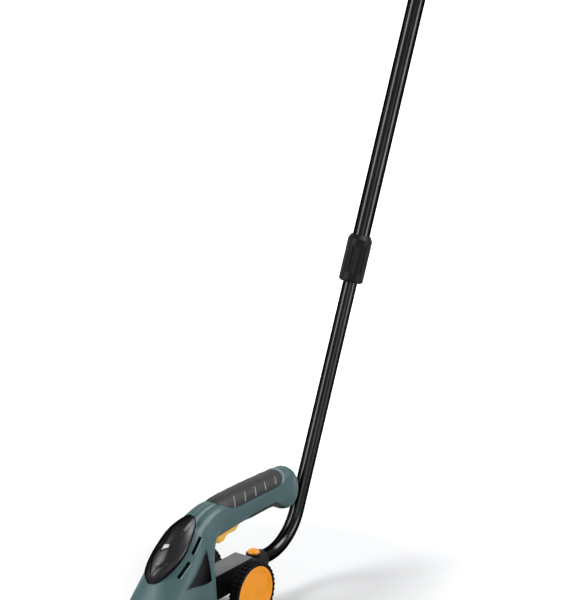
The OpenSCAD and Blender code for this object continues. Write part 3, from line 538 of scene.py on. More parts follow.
def skin(s, a, off=0.0):
    """A point of the plain housing at place s and angle a in degrees, moved out by off."""
    q = station(s)
    turn = np.radians(a)
    d = q[..., 0:2] - q[..., 2:4]
    h = np.linalg.norm(d, axis=-1) / 2
    n = np.where(np.sin(turn) >= 0, q[..., 5], q[..., 6])
    x = (q[..., 4] + off) * power(np.cos(turn), 2 / n)
    r = (h + off) * power(np.sin(turn), 2 / n)
    y = (q[..., 0] + q[..., 2]) / 2 + d[..., 0] / 2 / h * r
    z = (q[..., 1] + q[..., 3]) / 2 + d[..., 1] / 2 / h * r
    return np.stack([x, y, z], -1)


def top_sag(s, a):
    """How far the top line lies below the plain surface."""
    return np.interp(s, *SAG.T) * step(90 - np.abs(90 - a), *SAG_ANGLE)


def relief(s, a):
    """How far the moulded surface stands out from the plain one."""
    a = np.where(a > 90, 180 - a, a)
    above = a - np.interp(s, *SHOULDER.T)
    shoulder = np.where(above > 0, bump(above, SHOULDER_WIDE[0]), bump(above, SHOULDER_WIDE[1]))
    shoulder = shoulder * step(s, *SHOULDER_START) * (1 - step(s, *SHOULDER_END))
    groove = bump(a - np.interp(s, *GROOVE.T), GROOVE_WIDE)
    groove = groove * step(s, *GROOVE_START) * (1 - step(s, *GROOVE_END))
    seam = bump(90 - np.abs(a), SEAM_WIDE)
    butt = step(s, *BUTT_PLACE) * step(a, *BUTT_ANGLE)
    return (SHOULDER_H * shoulder - GROOVE_DEEP * groove - SEAM_DEEP * seam - BUTT_DEEP * butt
            - top_sag(s, a))


# Housing

WALL = 2.5
SHELL_ROWS = 226
SHELL_ANGLES = np.concatenate([[-90, -89.4, -88.6], np.linspace(-87, 87, 75), [88.6, 89.4, 90]])
# The inner surface starts after the outer one and ends before it
INNER_START, INNER_SHORT = 0.12, 0.55
# Boxes cut out of the housing, as low and high corner
BASE_CUT = ((-60, -200, -60), (60, 0, 15))
TRIGGER_SLOT = ((-7.6, -27, 84), (7.6, 22.5, 111))
DOCK_MOUTH = ((-14.5, -88, 29), (14.5, -30, 62.5))
# Holes, as place, radius, start and end
CHARGE_HOLE = ((0, 0, 107), 5.2, 113.9, 140)
LOCK_HOLE = ((0, -32, 118), 5.05, -40, -14)
# Screws in the right flank, as y, z and the x of the flank there, and their holes
SCREWS = [(-148, 34, 33), (-96, 98, 22.7), (-52, 112, 21.9), (108, 112, 15.2)]
SCREW_R, SCREW_OUT, SCREW_DEEP = 2.8, 60, 4
# Vents, as place and angle of their two ends
VENTS = [((5.40, 51.2), (4.48, 52.0)), ((4.17, 51.6), (3.40, 56.8))]
VENT_W, VENT_DEEP, VENT_CORNER, VENT_STEPS = 4.2, 9.0, 1.0, 5
# Steps in place and angle that give the flank's slope at a vent
SLOPE_S, SLOPE_A = 0.03, 1
# A vent's lip: radius, distance from the vent, height, and its share of the vent's length
LIP_R, LIP_AWAY, LIP_UP, LIP_SHARE = 0.6, 0.5, 0.05, (0.02, 0.98)
LIP_POINTS, LIP_SIDES = 15, 10


def half_shell(name, side):
    """One half of the housing, whose wall follows the hollows of its surface."""
    s, a = grid_values(np.linspace(0, LAST, SHELL_ROWS), SHELL_ANGLES)
    s_in = INNER_START + (LAST - INNER_SHORT - INNER_START) * s / LAST
    outer = mirrored(skin(s, a, relief(s, a)), side)
    inner = mirrored(skin(s_in, a, np.minimum(0, relief(s_in, a)) - WALL), side)
    outer[:, [0, -1], 0] = 0
    inner[:, [0, -1], 0] = 0
    return slab(name, outer, inner)


def slot_loop(half_u, half_v):
    """A vent's outline with round corners, as (u, v)."""
    out = []
    for su, sv, first in ((1, 1, 0), (-1, 1, 90), (-1, -1, 180), (1, -1, 270)):
        for k in range(VENT_STEPS + 1):
            turn = math.radians(first + 90 * k / VENT_STEPS)
            out.append((su * (half_u - VENT_CORNER) + VENT_CORNER * math.cos(turn),
                        sv * (half_v - VENT_CORNER) + VENT_CORNER * math.sin(turn)))
    return out


def vent_cutter(side, start, end):
    """A slot through the flank between two places."""
    p, q = skin(*start), skin(*end)
    s, a = (start[0] + end[0]) / 2, (start[1] + end[1]) / 2
    by_angle = skin(s, a + SLOPE_A) - skin(s, a - SLOPE_A)
    by_place = skin(s + SLOPE_S, a) - skin(s - SLOPE_S, a)
    normal = np.cross(by_angle, by_place)
    along = (q - p) / np.linalg.norm(q - p)
    across = np.cross(normal, along) / np.linalg.norm(np.cross(normal, along))
    normal = np.cross(along, across)
    loop = slot_loop(np.linalg.norm(q - p) / 2, VENT_W / 2)
    ring = np.array([(p + q) / 2 + u * along + v * across for u, v in loop])
    points = np.concatenate([ring - VENT_DEEP * normal, ring + VENT_DEEP * normal])
    count = len(loop)
    faces = grid_faces(2, count, False, True)
    faces += [tuple(range(count)), tuple(range(2 * count - 1, count - 1, -1))]
    return add_mesh("cutter", mirrored(points, side), faces)


def vent_lip(side, start, end):
    """A thin raised lip along the lower edge of a vent, in a lighter teal that is a painted highlight."""
    f = np.linspace(*LIP_SHARE, LIP_POINTS)
    s, a = between(start[0], end[0], f), between(start[1], end[1], f)
    per_degree = np.linalg.norm(skin(s, a + 0.5) - skin(s, a - 0.5), axis=-1)
    a = a - (VENT_W / 2 + LIP_AWAY) / per_degree
    return sweep("lip", mirrored(skin(s, a, relief(s, a) + LIP_UP), side), LIP_R, LIP_SIDES)


def make_housing():
    for name, side in (("left_housing", 1), ("right_housing", -1)):
        obj = half_shell(name + "_shell", side)
        cutters = [box_cutter(*BASE_CUT)]
        cutters += [vent_cutter(side, *v) for v in VENTS]
        cutters += [box_cutter(*TRIGGER_SLOT), box_cutter(*DOCK_MOUTH), bar_cutter("Y", *CHARGE_HOLE)]
        if side < 0:
            cutters.append(bar_cutter("X", *LOCK_HOLE))
            for y, z, x in SCREWS:
                cutters.append(bar_cutter("X", (0, y, z), SCREW_R, -SCREW_OUT, SCREW_DEEP - x))
        cut(obj, cutters)
        dress(obj, "tool", TEAL, [name])
        lips = [vent_lip(side, *v) for v in VENTS]
        dress(joined(name + "_lips", lips), "tool", TEAL_PAINTED_HIGHLIGHT)


# Front pad: a blunt domed oval by turn along it, 0 at its lower end and 180 at its upper, and side across it

# Middle place and half length on the housing, half width in degrees, and the turn left off at both tips
PAD_MID, PAD_HALF, PAD_SPREAD, PAD_TIP = 4.375, 1.657, 29.5, 4.0
PAD_ROWS, PAD_COLS = 161, 97
# Thickness of the pad and of its border, gap under it, height of the crown, and how much more of that
# the lower end has
PAD_T, PAD_EDGE, PAD_GAP, PAD_CROWN, PAD_LEAN = 1.2, 0.12, 0.08, 7.2, 0.6
# Exponents of the dome along and across, and of the rolled border
PAD_ENDS, PAD_FULL, PAD_ROLL = 0.3, 0.24, 40
# Bluntness of the upper end, what the lower end adds to it, how far that end drifts sideways,
# and the turns over which both fade
PAD_BLUNT, PAD_TAPER, PAD_DRIFT = 0.73, 0.18, 6.0
TAPER_TURN, DRIFT_TURN = (45, 100), (30, 95)
# The raised spine: half its width by turn, its edge, and how far its lower part is shifted
SPINE = np.array([(15, 0.05), (44, 0.3), (54, 0.46), (67, 0.39), (80.5, 0.18), (95.3, 0.23), (107.6, 0.39),
                  (124.8, 0.51), (146.5, 0.63), (165, 0.8)])
SPINE_H, SPINE_EDGE, SPINE_SHIFT, SPINE_TURN = 0.7, 0.09, 0.1, (40, 80)
# Each crease is a line of (side, turn) that fades at its ends
CREASES = [np.array(line) for line in (
    [(-0.65, 54), (-0.52, 44.8), (-0.2, 39.7)],
    [(-0.39, 82.7), (-0.26, 76.3), (-0.19, 74.5), (0.07, 67.7), (0.36, 76.6)],
    [(-0.41, 106.6), (-0.27, 103.7), (-0.15, 98.7)])]
CREASE_H, CREASE_WIDE, CREASE_FADE = 0.8, 1.5, 0.06
# The lamp's corners as (turn, side), its points each way, the exponent of its edge,
# and its heights over and under the dome
LAMP_CORNERS = np.array([[(69.5, 0.09), (74.9, -0.19)], [(77.8, 0.12), (80.0, -0.16)]])
LAMP_POINTS, LAMP_ROLL = 13, 8
LAMP_EDGE, LAMP_CROWN, LAMP_DEEP = 0.4, 0.6, 0.9


def pad_skin(turn, side, off):
    """A point of the pad, off over the housing."""
    rise = np.sin(np.radians(turn))
    s = PAD_MID - PAD_HALF * np.cos(np.radians(turn))
    blunt = PAD_BLUNT + PAD_TAPER * (1 - step(turn, *TAPER_TURN))
    drift = PAD_DRIFT * (1 - step(turn, *DRIFT_TURN))
    return skin(s, 90 + drift + PAD_SPREAD * rise ** blunt * side, off)


def pad_dome(turn, side):
    """Height of the plain dome over the housing."""
    rise = np.sin(np.radians(turn)) ** PAD_ENDS * (1 + PAD_LEAN * np.cos(np.radians(turn)))
    return PAD_T + PAD_CROWN * rise * np.maximum(0, 1 - side ** 2) ** PAD_FULL


def pad_creases(turn, side):
    """1 on a crease, 0 away from it."""
    total = 0
    for line in CREASES:
        first, last = line[0, 0], line[-1, 0]
        fade = step(side, first - CREASE_FADE, first + CREASE_FADE)
        fade = fade * (1 - step(side, last - CREASE_FADE, last + CREASE_FADE))
        total = total + fade * bump(turn - np.interp(side, *line.T), CREASE_WIDE)
    return np.minimum(total, 1)


def pad_height(turn, side):
    """Height of the pad over the housing, with its rolled border, spine and creases."""
    tip = np.abs(np.cos(np.radians(turn))) / math.cos(math.radians(PAD_TIP))
    border = rolled(np.maximum(np.abs(side), tip), PAD_ROLL)
    across = np.abs(side + SPINE_SHIFT * (1 - step(turn, *SPINE_TURN)))
    spine = 1 - step(across - np.interp(turn, *SPINE.T), -SPINE_EDGE, SPINE_EDGE)
    detail = SPINE_H * spine - CREASE_H * pad_creases(turn, side)
    return PAD_EDGE + border * (pad_dome(turn, side) - PAD_EDGE + detail)


def make_pad():
    turn, across = grid_values(np.linspace(PAD_TIP, 180 - PAD_TIP, PAD_ROWS), np.linspace(-1, 1, PAD_COLS))
    side = np.sin(across * math.pi / 2)
    top, under = pad_skin(turn, side, pad_height(turn, side)), pad_skin(turn, side, PAD_GAP)
    dress(slab("front_panel", top, under), "tool", PAD_BLACK, ["front_pad"])


def make_lamp():
    u, v = grid_values(np.linspace(0, 1, LAMP_POINTS), np.linspace(0, 1, LAMP_POINTS))
    low, high = (between(row[0], row[1], v[..., None]) for row in LAMP_CORNERS)
    at = between(low, high, u[..., None])
    turn, side = at[..., 0], at[..., 1]
    dome = pad_dome(turn, side)
    edge = np.maximum(np.abs(2 * u - 1), np.abs(2 * v - 1))
    top = pad_skin(turn, side, dome + LAMP_EDGE + LAMP_CROWN * rolled(edge, LAMP_ROLL))
    window = slab("lamp_window", top, pad_skin(turn, side, dome - LAMP_DEEP))
    dress(window, "tool", LAMP, ["charge_lamp"])


# Soft skins of the handle

# Thickness, gap under the skin and exponent of its rolled border
SKIN_T, SKIN_GAP, SKIN_ROLL = 1.2, 0.05, 8
GRIP_GRID, STRIP_GRID = (101, 81), (91, 41)
# Upper skin: half width in degrees, how much narrower its ends are and the exponent of that,
# and the height of its border
GRIP_SPREAD, GRIP_NARROW, GRIP_ENDS, GRIP_EDGE = 71, 0.12, 6, 0.1
# First and last place on the top line, and how far they draw in towards the sides
GRIP_FIRST, GRIP_FIRST_IN, GRIP_LAST, GRIP_LAST_IN = 7.7, 0.87, 11.62, 0.4
# Lower skin: first and last place, half width in degrees at both, the share of its length
# over which it narrows, and the height of its border
STRIP_SPAN, STRIP_SPREAD, STRIP_NARROW, STRIP_EDGE = (9.65, 13.4), (56, 30), (0.35, 0.7), 0.2
# Finger ribs: place and angle of the upper and the lower end
RIBS = [((8.87, 59), (8.67, 25)), ((9.46, 55), (9.27, 25)), ((9.98, 55.5), (9.81, 25.5)),
        ((10.49, 57.5), (10.34, 28)), ((11.11, 61.5), (10.92, 32))]
RIB_R, RIB_UP, RIB_POINTS, RIB_SIDES = 1.1, 0.45, 13, 12
# Bead behind the upper skin: radius, height, distance and share of the skin's width
BEAD_R, BEAD_UP, BEAD_AWAY, BEAD_SHARE = 0.8, 0.3, 0.14, 0.9
BEAD_POINTS, BEAD_SIDES = 81, 12


def grip_span(j):
    """First and last place of the upper skin, by share j of its half width."""
    return GRIP_FIRST + GRIP_FIRST_IN * j ** 2, GRIP_LAST - GRIP_LAST_IN * j ** 4


def soft_skin(name, s, a, edge, border):
    """A soft skin whose border rolls down to the housing."""
    sag = top_sag(s, a)
    top = border + (SKIN_T - border) * rolled(edge, SKIN_ROLL)
    return slab(name, skin(s, a, top - sag), skin(s, a, SKIN_GAP - sag))


def make_upper_grip():
    f, j = grid_values(np.linspace(0, 1, GRIP_GRID[0]), np.linspace(-1, 1, GRIP_GRID[1]))
    first, last = grip_span(j)
    a = 90 + GRIP_SPREAD * j * (1 - GRIP_NARROW * np.abs(2 * f - 1) ** GRIP_ENDS)
    edge = np.maximum(np.abs(2 * f - 1), np.abs(j))
    upper = soft_skin("handle_skin", between(first, last, f), a, edge, GRIP_EDGE)
    dress(upper, "tool", GRIP, ["upper_grip"])


def make_lower_grip():
    f, j = grid_values(np.linspace(0, 1, STRIP_GRID[0]), np.linspace(-1, 1, STRIP_GRID[1]))
    a = -90 + between(*STRIP_SPREAD, step(f, *STRIP_NARROW)) * j
    edge = np.maximum(np.abs(2 * f - 1), np.abs(j))
    lower = soft_skin("handle_strip", between(*STRIP_SPAN, f), a, edge, STRIP_EDGE)
    dress(lower, "tool", GRIP, ["lower_grip"])


def make_ribs():
    f = np.linspace(0, 1, RIB_POINTS)
    ribs = []
    for top, foot in RIBS:
        s, a = between(top[0], foot[0], f), between(top[1], foot[1], f)
        path = skin(s, a, SKIN_T + RIB_UP - RIB_R - top_sag(s, a))
        ribs += [sweep("rib", mirrored(path, side), RIB_R, RIB_SIDES) for side in (1, -1)]
    dress(joined("handle_ribs", ribs), "tool", RIB)


def make_bead():
    j = np.linspace(-1, 1, BEAD_POINTS)
    s, a = grip_span(j)[1] + BEAD_AWAY, 90 + BEAD_SHARE * GRIP_SPREAD * j
    bead = sweep("handle_bead", skin(s, a, BEAD_UP - top_sag(s, a)), BEAD_R, BEAD_SIDES)
    # The bead takes the lighter teal: a painted highlight along the rear of the upper skin
    dress(bead, "tool", TEAL_PAINTED_HIGHLIGHT)


# Bare plates on the flanks: upper and lower edge, as place and angle of their front and rear end

BADGE_TOP = np.array([(3.38, 38.0), (5.27, 31.6)])
BADGE_FOOT = np.array([(3.55, 33.5), (4.78, 1.0)])
# Height, gap under the plate, radius and sides of its edge
BADGE_UP, BADGE_GAP, BADGE_EDGE_R, BADGE_EDGE_SIDES = 0.6, 0.08, 0.4, 8
BADGE_GRID = (25, 21)


def badge_points(off, side):
    """A grid of points over a plate, off over the moulded surface."""
    f, g = grid_values(*(np.linspace(0, 1, count) for count in BADGE_GRID))
    top, foot = (between(line[0], line[1], f[..., None]) for line in (BADGE_TOP, BADGE_FOOT))
    at = between(foot, top, g[..., None])
    s, a = at[..., 0], at[..., 1]
    return mirrored(skin(s, a, off + relief(s, a)), side)


def make_badges():
    for name, side in (("left_badge", 1), ("right_badge", -1)):
        grid = badge_points(BADGE_UP, side)
        plate = slab(name + "_plate", grid, badge_points(BADGE_GAP, side))
        dress(plate, "tool", BADGE, [name])
        loop = np.concatenate([grid[0, :-1], grid[:-1, -1], grid[-1, :0:-1], grid[:0:-1, 0]])
        edge = sweep(name + "_edge", loop, BADGE_EDGE_R, BADGE_EDGE_SIDES, closed=True)
        dress(edge, "tool", TEAL)


# Trigger: a round front block and a thin tail, as lower and upper outline (y, z)

TRIGGER_LOW = np.array([(-24, 101), (-23, 96), (-20, 92.6), (-15, 91.8), (-11, 92.8), (-8.5, 95.4),
                        (-6, 97.6), (4, 97.4), (9.5, 97.2), (13.5, 99), (16.5, 103), (19.5, 107), (21, 109)])
TRIGGER_HIGH = np.array([(-24, 103), (-22, 103.8), (-10, 106.4), (11, 109.6), (13.5, 112.5), (17, 115.2),
                         (20, 113.5), (21, 111)])
TRIGGER_FRONT, TRIGGER_REAR = -24, 21
# Half width, the lengths over which the ends round off, and the exponent of the section
TRIGGER_HALF, FRONT_ROUND, REAR_ROUND, TRIGGER_SQUARE = 6.9, 5, 2.5, 0.62
# The rounding would close this far beyond the ends, which are small flats
TRIGGER_FLAT = 0.3
TRIGGER_ROWS, TRIGGER_SIDES = 91, 40
TRIGGER_BORE = ((0, 17.0, 111.5), 1.55, -20, 20)
# Weights that soften the outlines
SOFTEN = np.array([1, 2, 3, 2, 1]) / 9


def make_trigger():
    y = np.linspace(TRIGGER_FRONT, TRIGGER_REAR, TRIGGER_ROWS)
    low, high = np.interp(y, *TRIGGER_LOW.T), np.interp(y, *TRIGGER_HIGH.T)
    low, high = (np.convolve(np.pad(v, 2, mode="edge"), SOFTEN, "valid") for v in (low, high))
    front = (y - TRIGGER_FRONT + TRIGGER_FLAT) / FRONT_ROUND
    rear = (TRIGGER_REAR + TRIGGER_FLAT - y) / REAR_ROUND
    ends = np.minimum(1, np.minimum(front, rear))
    half = TRIGGER_HALF * np.sqrt(1 - (1 - ends) ** 2)
    turn = np.linspace(0, 2 * math.pi, TRIGGER_SIDES, endpoint=False)[None, :]
    x = half[:, None] * power(np.cos(turn), TRIGGER_SQUARE)
    z = ((low + high) / 2)[:, None] + ((high - low) / 2)[:, None] * power(np.sin(turn), TRIGGER_SQUARE)
    points = np.stack([x, np.broadcast_to(y[:, None], x.shape), z], -1)
    obj = add_mesh("trigger_paddle", points, grid_faces(TRIGGER_ROWS, TRIGGER_SIDES, close_cols=True))
    close_holes(obj)
    cut(obj, [bar_cutter("X", *TRIGGER_BORE)])
    # The trigger takes the brighter orange: painted light
    dress(obj, "trigger", ORANGE_PAINTED_LIGHT, ["trigger"])


# Wheels: outlines of (radius, height), with height from the tyre's inner face outward

# Radius, width of the tyre, x of its inner face, and radius of the rim
WHEEL_R, TYRE_W, WHEEL_IN, RIM_R = 35.5, 12.0, 29.2, 31.3
CAP_SIDES = 128
# Lugs round the tyre: number, points each and height, their sides as a share of one,
# and how far inside the wheel's radius they fade
LUGS, LUG_POINTS, LUG_H = 36, 16, 1.1
LUG_SIDE, LUG_REACH = (0.2, 0.27), (3.4, 2.2)
# Groove along the tyre's middle
MIDDLE_WIDE, MIDDLE_DEEP = 0.7, 0.9
TYRE_OUTLINE = rounded([(RIM_R, 0.2), (WHEEL_R - 0.8, 0), (WHEEL_R, 0.8), (WHEEL_R, TYRE_W / 2 - 1),
                        (WHEEL_R, TYRE_W / 2 + 1), (WHEEL_R, TYRE_W - 0.8), (WHEEL_R - 0.8, TYRE_W),
                        (RIM_R, TYRE_W - 0.2), (RIM_R, 0.2)], 0.5)
CAP_OUTLINE = rounded([(0, TYRE_W - 1.7), (RIM_R - 9, TYRE_W - 2.0), (RIM_R - 5.0, TYRE_W - 2.3),
                       (RIM_R - 3.6, TYRE_W - 0.4), (RIM_R - 1.2, TYRE_W - 0.1), (RIM_R - 0.1, TYRE_W - 0.9),
                       (RIM_R - 0.1, TYRE_W - 3.1), (RIM_R - 2.4, TYRE_W - 3.1), (RIM_R - 2.4, TYRE_W - 4.0),
                       (0, TYRE_W - 4.0)], 0.8)


def wheel_basis(side):
    """Wheel axis along the outward X direction, from the tyre's inner face."""
    turn = Matrix.Rotation(side * math.pi / 2, 4, "Y")
    return Matrix.Translation(Vector((side * WHEEL_IN, 0, WHEEL_R))) @ turn


def tread(r, h, turn):
    """Lugs round the tyre, parted by a groove along its middle."""
    part = (turn * LUGS / (2 * math.pi)) % 1.0
    lug = step(np.abs(part - 0.5), *LUG_SIDE)
    middle = bump(h - TYRE_W / 2, MIDDLE_WIDE)
    on_tread = step(r, WHEEL_R - LUG_REACH[0], WHEEL_R - LUG_REACH[1])
    return r - on_tread * np.maximum((1 - lug) * LUG_H, MIDDLE_DEEP * middle)


def make_wheels():
    for side, word in ((1, "left"), (-1, "right")):
        place = wheel_basis(side)
        body = word + "_wheel"
        tyre = lathe(word + "_tread", TYRE_OUTLINE, place, LUGS * LUG_POINTS, tread)
        dress(tyre, body, TYRE, [word + "_tyre"])
        dress(lathe(word + "_disc", CAP_OUTLINE, place, CAP_SIDES), body, ORANGE, [word + "_hubcap"])
        dress(copy_node(word + "_wheel_rim", word + "_rim", width=0.5), body, BEAM, [word + "_rim"])


# Trolley

# The beam's top faces, which take the painted highlight: height, tolerance and how far up they face
BEAM_TOP_Z, TOP_NEAR, TOP_FACING = 60.0, 0.5, 0.9
BUTTON_Y = 51.5
# The release button's dome and its hollow underside with the guide pin, as (radius, z)
BUTTON_DOME = [(0, 61), (3.8, 60.6), (6.3, 59.3), (7, 57.6), (7, 57), (6, 56)]
BUTTON_UNDER = [(4.4, 56), (4.4, 58.8), (2.9, 58.8), (2.9, 56), (2.2, 56), (2.2, 47.5), (0, 47.5)]
BUTTON_ROUND, BUTTON_SIDES = 1.2, 64


def make_trolley():
    beam = copy_node("beam", "trolley_body", width=0.9, segments=3)
    dress(beam, "trolley", BEAM, ["trolley_body"])
    # Faces on the beam's top that point up take the lighter grey: painted highlight
    beam.data.materials.append(BEAM_PAINTED_HIGHLIGHT)
    for face in beam.data.polygons:
        on_top = face.center.z > (BEAM_TOP_Z - TOP_NEAR) * MM
        face.material_index = int(on_top and face.normal.z > TOP_FACING)
    dress(copy_node("beam_cover", "trolley_cover", width=0.4), "trolley", BEAM, ["trolley_cover"])


def make_button():
    outline = rounded(BUTTON_DOME, BUTTON_ROUND).tolist() + BUTTON_UNDER
    place = Matrix.Translation(Vector((0, BUTTON_Y, 0)))
    dress(lathe("socket_button", outline, place, BUTTON_SIDES), "release_button", ORANGE, ["release_button"])


# Pole: a tube bent at a corner, from which places along the leaning part are measured

# Lower tube: radius, z and first y of its level part, y of the corner, and place of its upper end
TUBE_R, TUBE_Z, TUBE_START, CORNER_Y, LOWER_HIGH = 8.0, 45.0, 11.0, 117.0, 524.0
LEAN = math.radians(22.9)
BEND_R, BEND_STEPS = 58.0, 24
BEND_TURN = math.pi / 2 - LEAN
BEND_REACH = BEND_R * math.tan(BEND_TURN / 2)
# Upper tube: radius, wall and places of its ends; collar: place of its lower end, length and radius
UPPER_R, UPPER_WALL, UPPER_LOW, UPPER_HIGH = 9.5, 1, 310.0, 734.0
COLLAR_LOW, COLLAR_LEN, COLLAR_R = 295.0, 53.0, 13.6
LOWER_SIDES, UPPER_SIDES, COLLAR_SIDES, COLLAR_ROWS = 56, 64, 216, 48
# The collar's bores over the lower and the upper tube, and where the one becomes the other
LOWER_BORE, UPPER_BORE, BORE_STEP = TUBE_R + 0.5, UPPER_R + 0.1, 3.7
# Flutes round the collar: number, depth, and how far from its lower and upper end they fade
FLUTES, FLUTE_DEEP, FLUTE_LOW, FLUTE_HIGH = 18, 1.0, (9, 12), (13, 10)


def pole_basis(t=0.0):
    """Local Z along the pole's axis, from place t on it."""
    corner = Matrix.Translation(Vector((0, CORNER_Y, TUBE_Z)))
    return corner @ Matrix.Rotation(-LEAN, 4, "X") @ Matrix.Translation(Vector((0, 0, t)))


def make_lower_tube():
    path = [(0, TUBE_START, TUBE_Z), (0, CORNER_Y - BEND_REACH, TUBE_Z)]
    centre = np.array([0, CORNER_Y - BEND_REACH, TUBE_Z + BEND_R])
    for k in range(1, BEND_STEPS + 1):
        turn = BEND_TURN * k / BEND_STEPS
        path.append(centre + BEND_R * np.array([0, math.sin(turn), -math.cos(turn)]))
    path.append(np.array(pole_basis() @ Vector((0, 0, LOWER_HIGH))))
    dress(sweep("bent_tube", path, TUBE_R, LOWER_SIDES), "trolley", COAT, ["lower_tube"])


def make_upper_tube():
    inside = UPPER_R - UPPER_WALL
    outline = [(inside, UPPER_LOW), (UPPER_R, UPPER_LOW), (UPPER_R, UPPER_HIGH), (inside, UPPER_HIGH),
               (inside, UPPER_LOW)]
    tube = lathe("straight_tube", outline, pole_basis(), UPPER_SIDES)
    dress(tube, "upper_pole", COAT, ["upper_tube"])


def flutes(r, h, turn):
    """Flutes round the collar, fading out at both ends."""
    wave = 0.5 + 0.5 * np.cos(FLUTES * turn)
    ends = step(h, *FLUTE_LOW) * (1 - step(h, COLLAR_LEN - FLUTE_HIGH[0], COLLAR_LEN - FLUTE_HIGH[1]))
    return r - FLUTE_DEEP * ends * step(r, COLLAR_R - 1, COLLAR_R) * wave ** 2


def make_collar():
    outline = rounded([(LOWER_BORE, 0), (TUBE_R + 3.6, 0), (COLLAR_R, 2.4)], 0.8).tolist()
    outline += [(COLLAR_R, h) for h in np.linspace(3.4, COLLAR_LEN - 6, COLLAR_ROWS)]
    outline += rounded([(COLLAR_R, COLLAR_LEN - 5.4), (COLLAR_R - 0.2, COLLAR_LEN - 4.6),
                        (UPPER_R + 1.2, COLLAR_LEN), (UPPER_BORE, COLLAR_LEN), (UPPER_BORE, BORE_STEP),
                        (LOWER_BORE, BORE_STEP), (LOWER_BORE, 0)], 0.5).tolist()
    collar = lathe("twist_collar", outline, pole_basis(COLLAR_LOW), COLLAR_SIDES, flutes)
    dress(collar, "collar", BEAM, ["lock_collar"])


def make_pole_grip():
    for node in ("grip_left", "grip_right"):
        dress(copy_node(node + "_shell", node, width=0.6, angle=35), "upper_pole", BEAM, [node])
    dress(copy_node("pole_sleeve", "grip_sleeve", width=0.5), "upper_pole", GRIP, ["grip_sleeve"])
    paddle = copy_node("pole_paddle", "pole_trigger", width=1.2, segments=3)
    dress(paddle, "pole_trigger", ORANGE, ["pole_trigger"])
    key = copy_node("pole_key", "pole_lock", width=0.8, segments=3)
    dress(key, "pole_lock", ORANGE, ["pole_lock"])


# Small parts of the head

def make_small_parts():
    key = copy_node("lock_key", "lock_button", width=0.8, segments=3)
    dress(key, "lock_button", ORANGE, ["lock_button"])
    dress(copy_node("sole", "skid_shoe", width=1.2, segments=3), "tool", BEAM, ["skid_shoe"])
    dress(copy_node("dock_socket", "dock_sleeve", width=0.5), "tool", BEAM, ["dock_sleeve"])


# Springs: node and body; y, lower and upper z; radius, wire's radius and turns;
# the joint that presses them, the z that stays and the share left

SPRINGS = [
    (("trigger_spring", "tool"), (4.0, 109.5, 115.9), (2.4, 0.35, 5), ("trigger_squeeze", 116.25, 0.84)),
    (("release_spring", "trolley"), (BUTTON_Y, 54.3, 58.4), (3.6, 0.3, 3), ("release_press", 54.0, 0.58)),
]
COIL_STEPS, WIRE_SIDES = 24, 10


def coil(name, y, low, high, r, wire, turns):
    """A wire wound upwards from low to high."""
    t = np.linspace(0, 1, turns * COIL_STEPS + 1)
    turn = 2 * math.pi * turns * t
    path = np.stack([r * np.cos(turn), y + r * np.sin(turn), between(low, high, t)], -1)
    return sweep(name, path, wire, WIRE_SIDES)


def make_springs():
    for (node, body), (y, low, high), winding, (joint, anchor, keep) in SPRINGS:
        spring = dress(coil(node + "_coil", y, low, high, *winding), body, STEEL, [node])
        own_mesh(spring)


# Stage: camera, floor and light, with places and sizes in metres from here on

# The photograph's size and scale in pixels, and the left hub's place in millimetres and in pixels
PHOTO_W, PHOTO_H = 567, 600
PX_PER_MM = 0.915
HUB_AT, HUB_PX = np.array([41.2, 0, WHEEL_R]), (256.3, 593.8)
VIEW_AZ, VIEW_EL = math.radians(36.0), math.radians(22.5)
CAMERA_AWAY, CAMERA_FAR = 30.0, 100
FLOOR_HALF = 6.0
FLOOR_COLOUR = (0.9, 0.91, 0.92, 1)
# The floor's glow grows from nothing to its full value between two distances from the middle
FLOOR_GLOW, FLOOR_NEAR, FLOOR_FAR = 0.9, 0.15, 0.6
SKY_LEVEL = 0.4
POLE_AXIS = (0, math.sin(LEAN), math.cos(LEAN))


def make_camera():
    sin_az, cos_az = math.sin(VIEW_AZ), math.cos(VIEW_AZ)
    sin_el, cos_el = math.sin(VIEW_EL), math.cos(VIEW_EL)
    right = np.array([cos_az, sin_az, 0])
    up = np.array([-sin_az * sin_el, cos_az * sin_el, cos_el])
    back = np.cross(right, up)
    middle = HUB_AT + right * (PHOTO_W / 2 - HUB_PX[0]) / PX_PER_MM
    middle = middle + up * (HUB_PX[1] - PHOTO_H / 2) / PX_PER_MM
    data = bpy.data.cameras.new("camera")
    data.sensor_fit = "VERTICAL"
    data.angle = 2 * math.atan(PHOTO_H / PX_PER_MM * MM / 2 / CAMERA_AWAY)
    data.clip_end = CAMERA_FAR
    cam = add_object("camera", data)
    turn = Matrix((right, up, back)).transposed().to_4x4()
    cam.matrix_world = Matrix.Translation(Vector(metres(middle)[0] + back * CAMERA_AWAY)) @ turn
    bpy.context.scene.camera = cam


def seen_rays(nodes, links):
    """1 for rays from the camera and for mirrored and transmitted ones, else 0."""
    path = nodes.new("ShaderNodeLightPath")
    total = path.outputs["Is Camera Ray"]
    for ray in ("Is Glossy Ray", "Is Transmission Ray"):
        node = nodes.new("ShaderNodeMath")
        node.operation = "ADD"
        node.use_clamp = True
        links.new(total, node.inputs[0])
        links.new(path.outputs[ray], node.inputs[1])
        total = node.outputs[0]
    return total


def mix_seen(nodes, links, hidden, seen, out):
    """Shows one shader to seen rays and another to the rest."""
    mix = nodes.new("ShaderNodeMixShader")
    links.new(seen_rays(nodes, links), mix.inputs[0])
    links.new(hidden.outputs[0], mix.inputs[1])
    links.new(seen.outputs[0], mix.inputs[2])
    links.new(mix.outputs[0], out.inputs["Surface"])


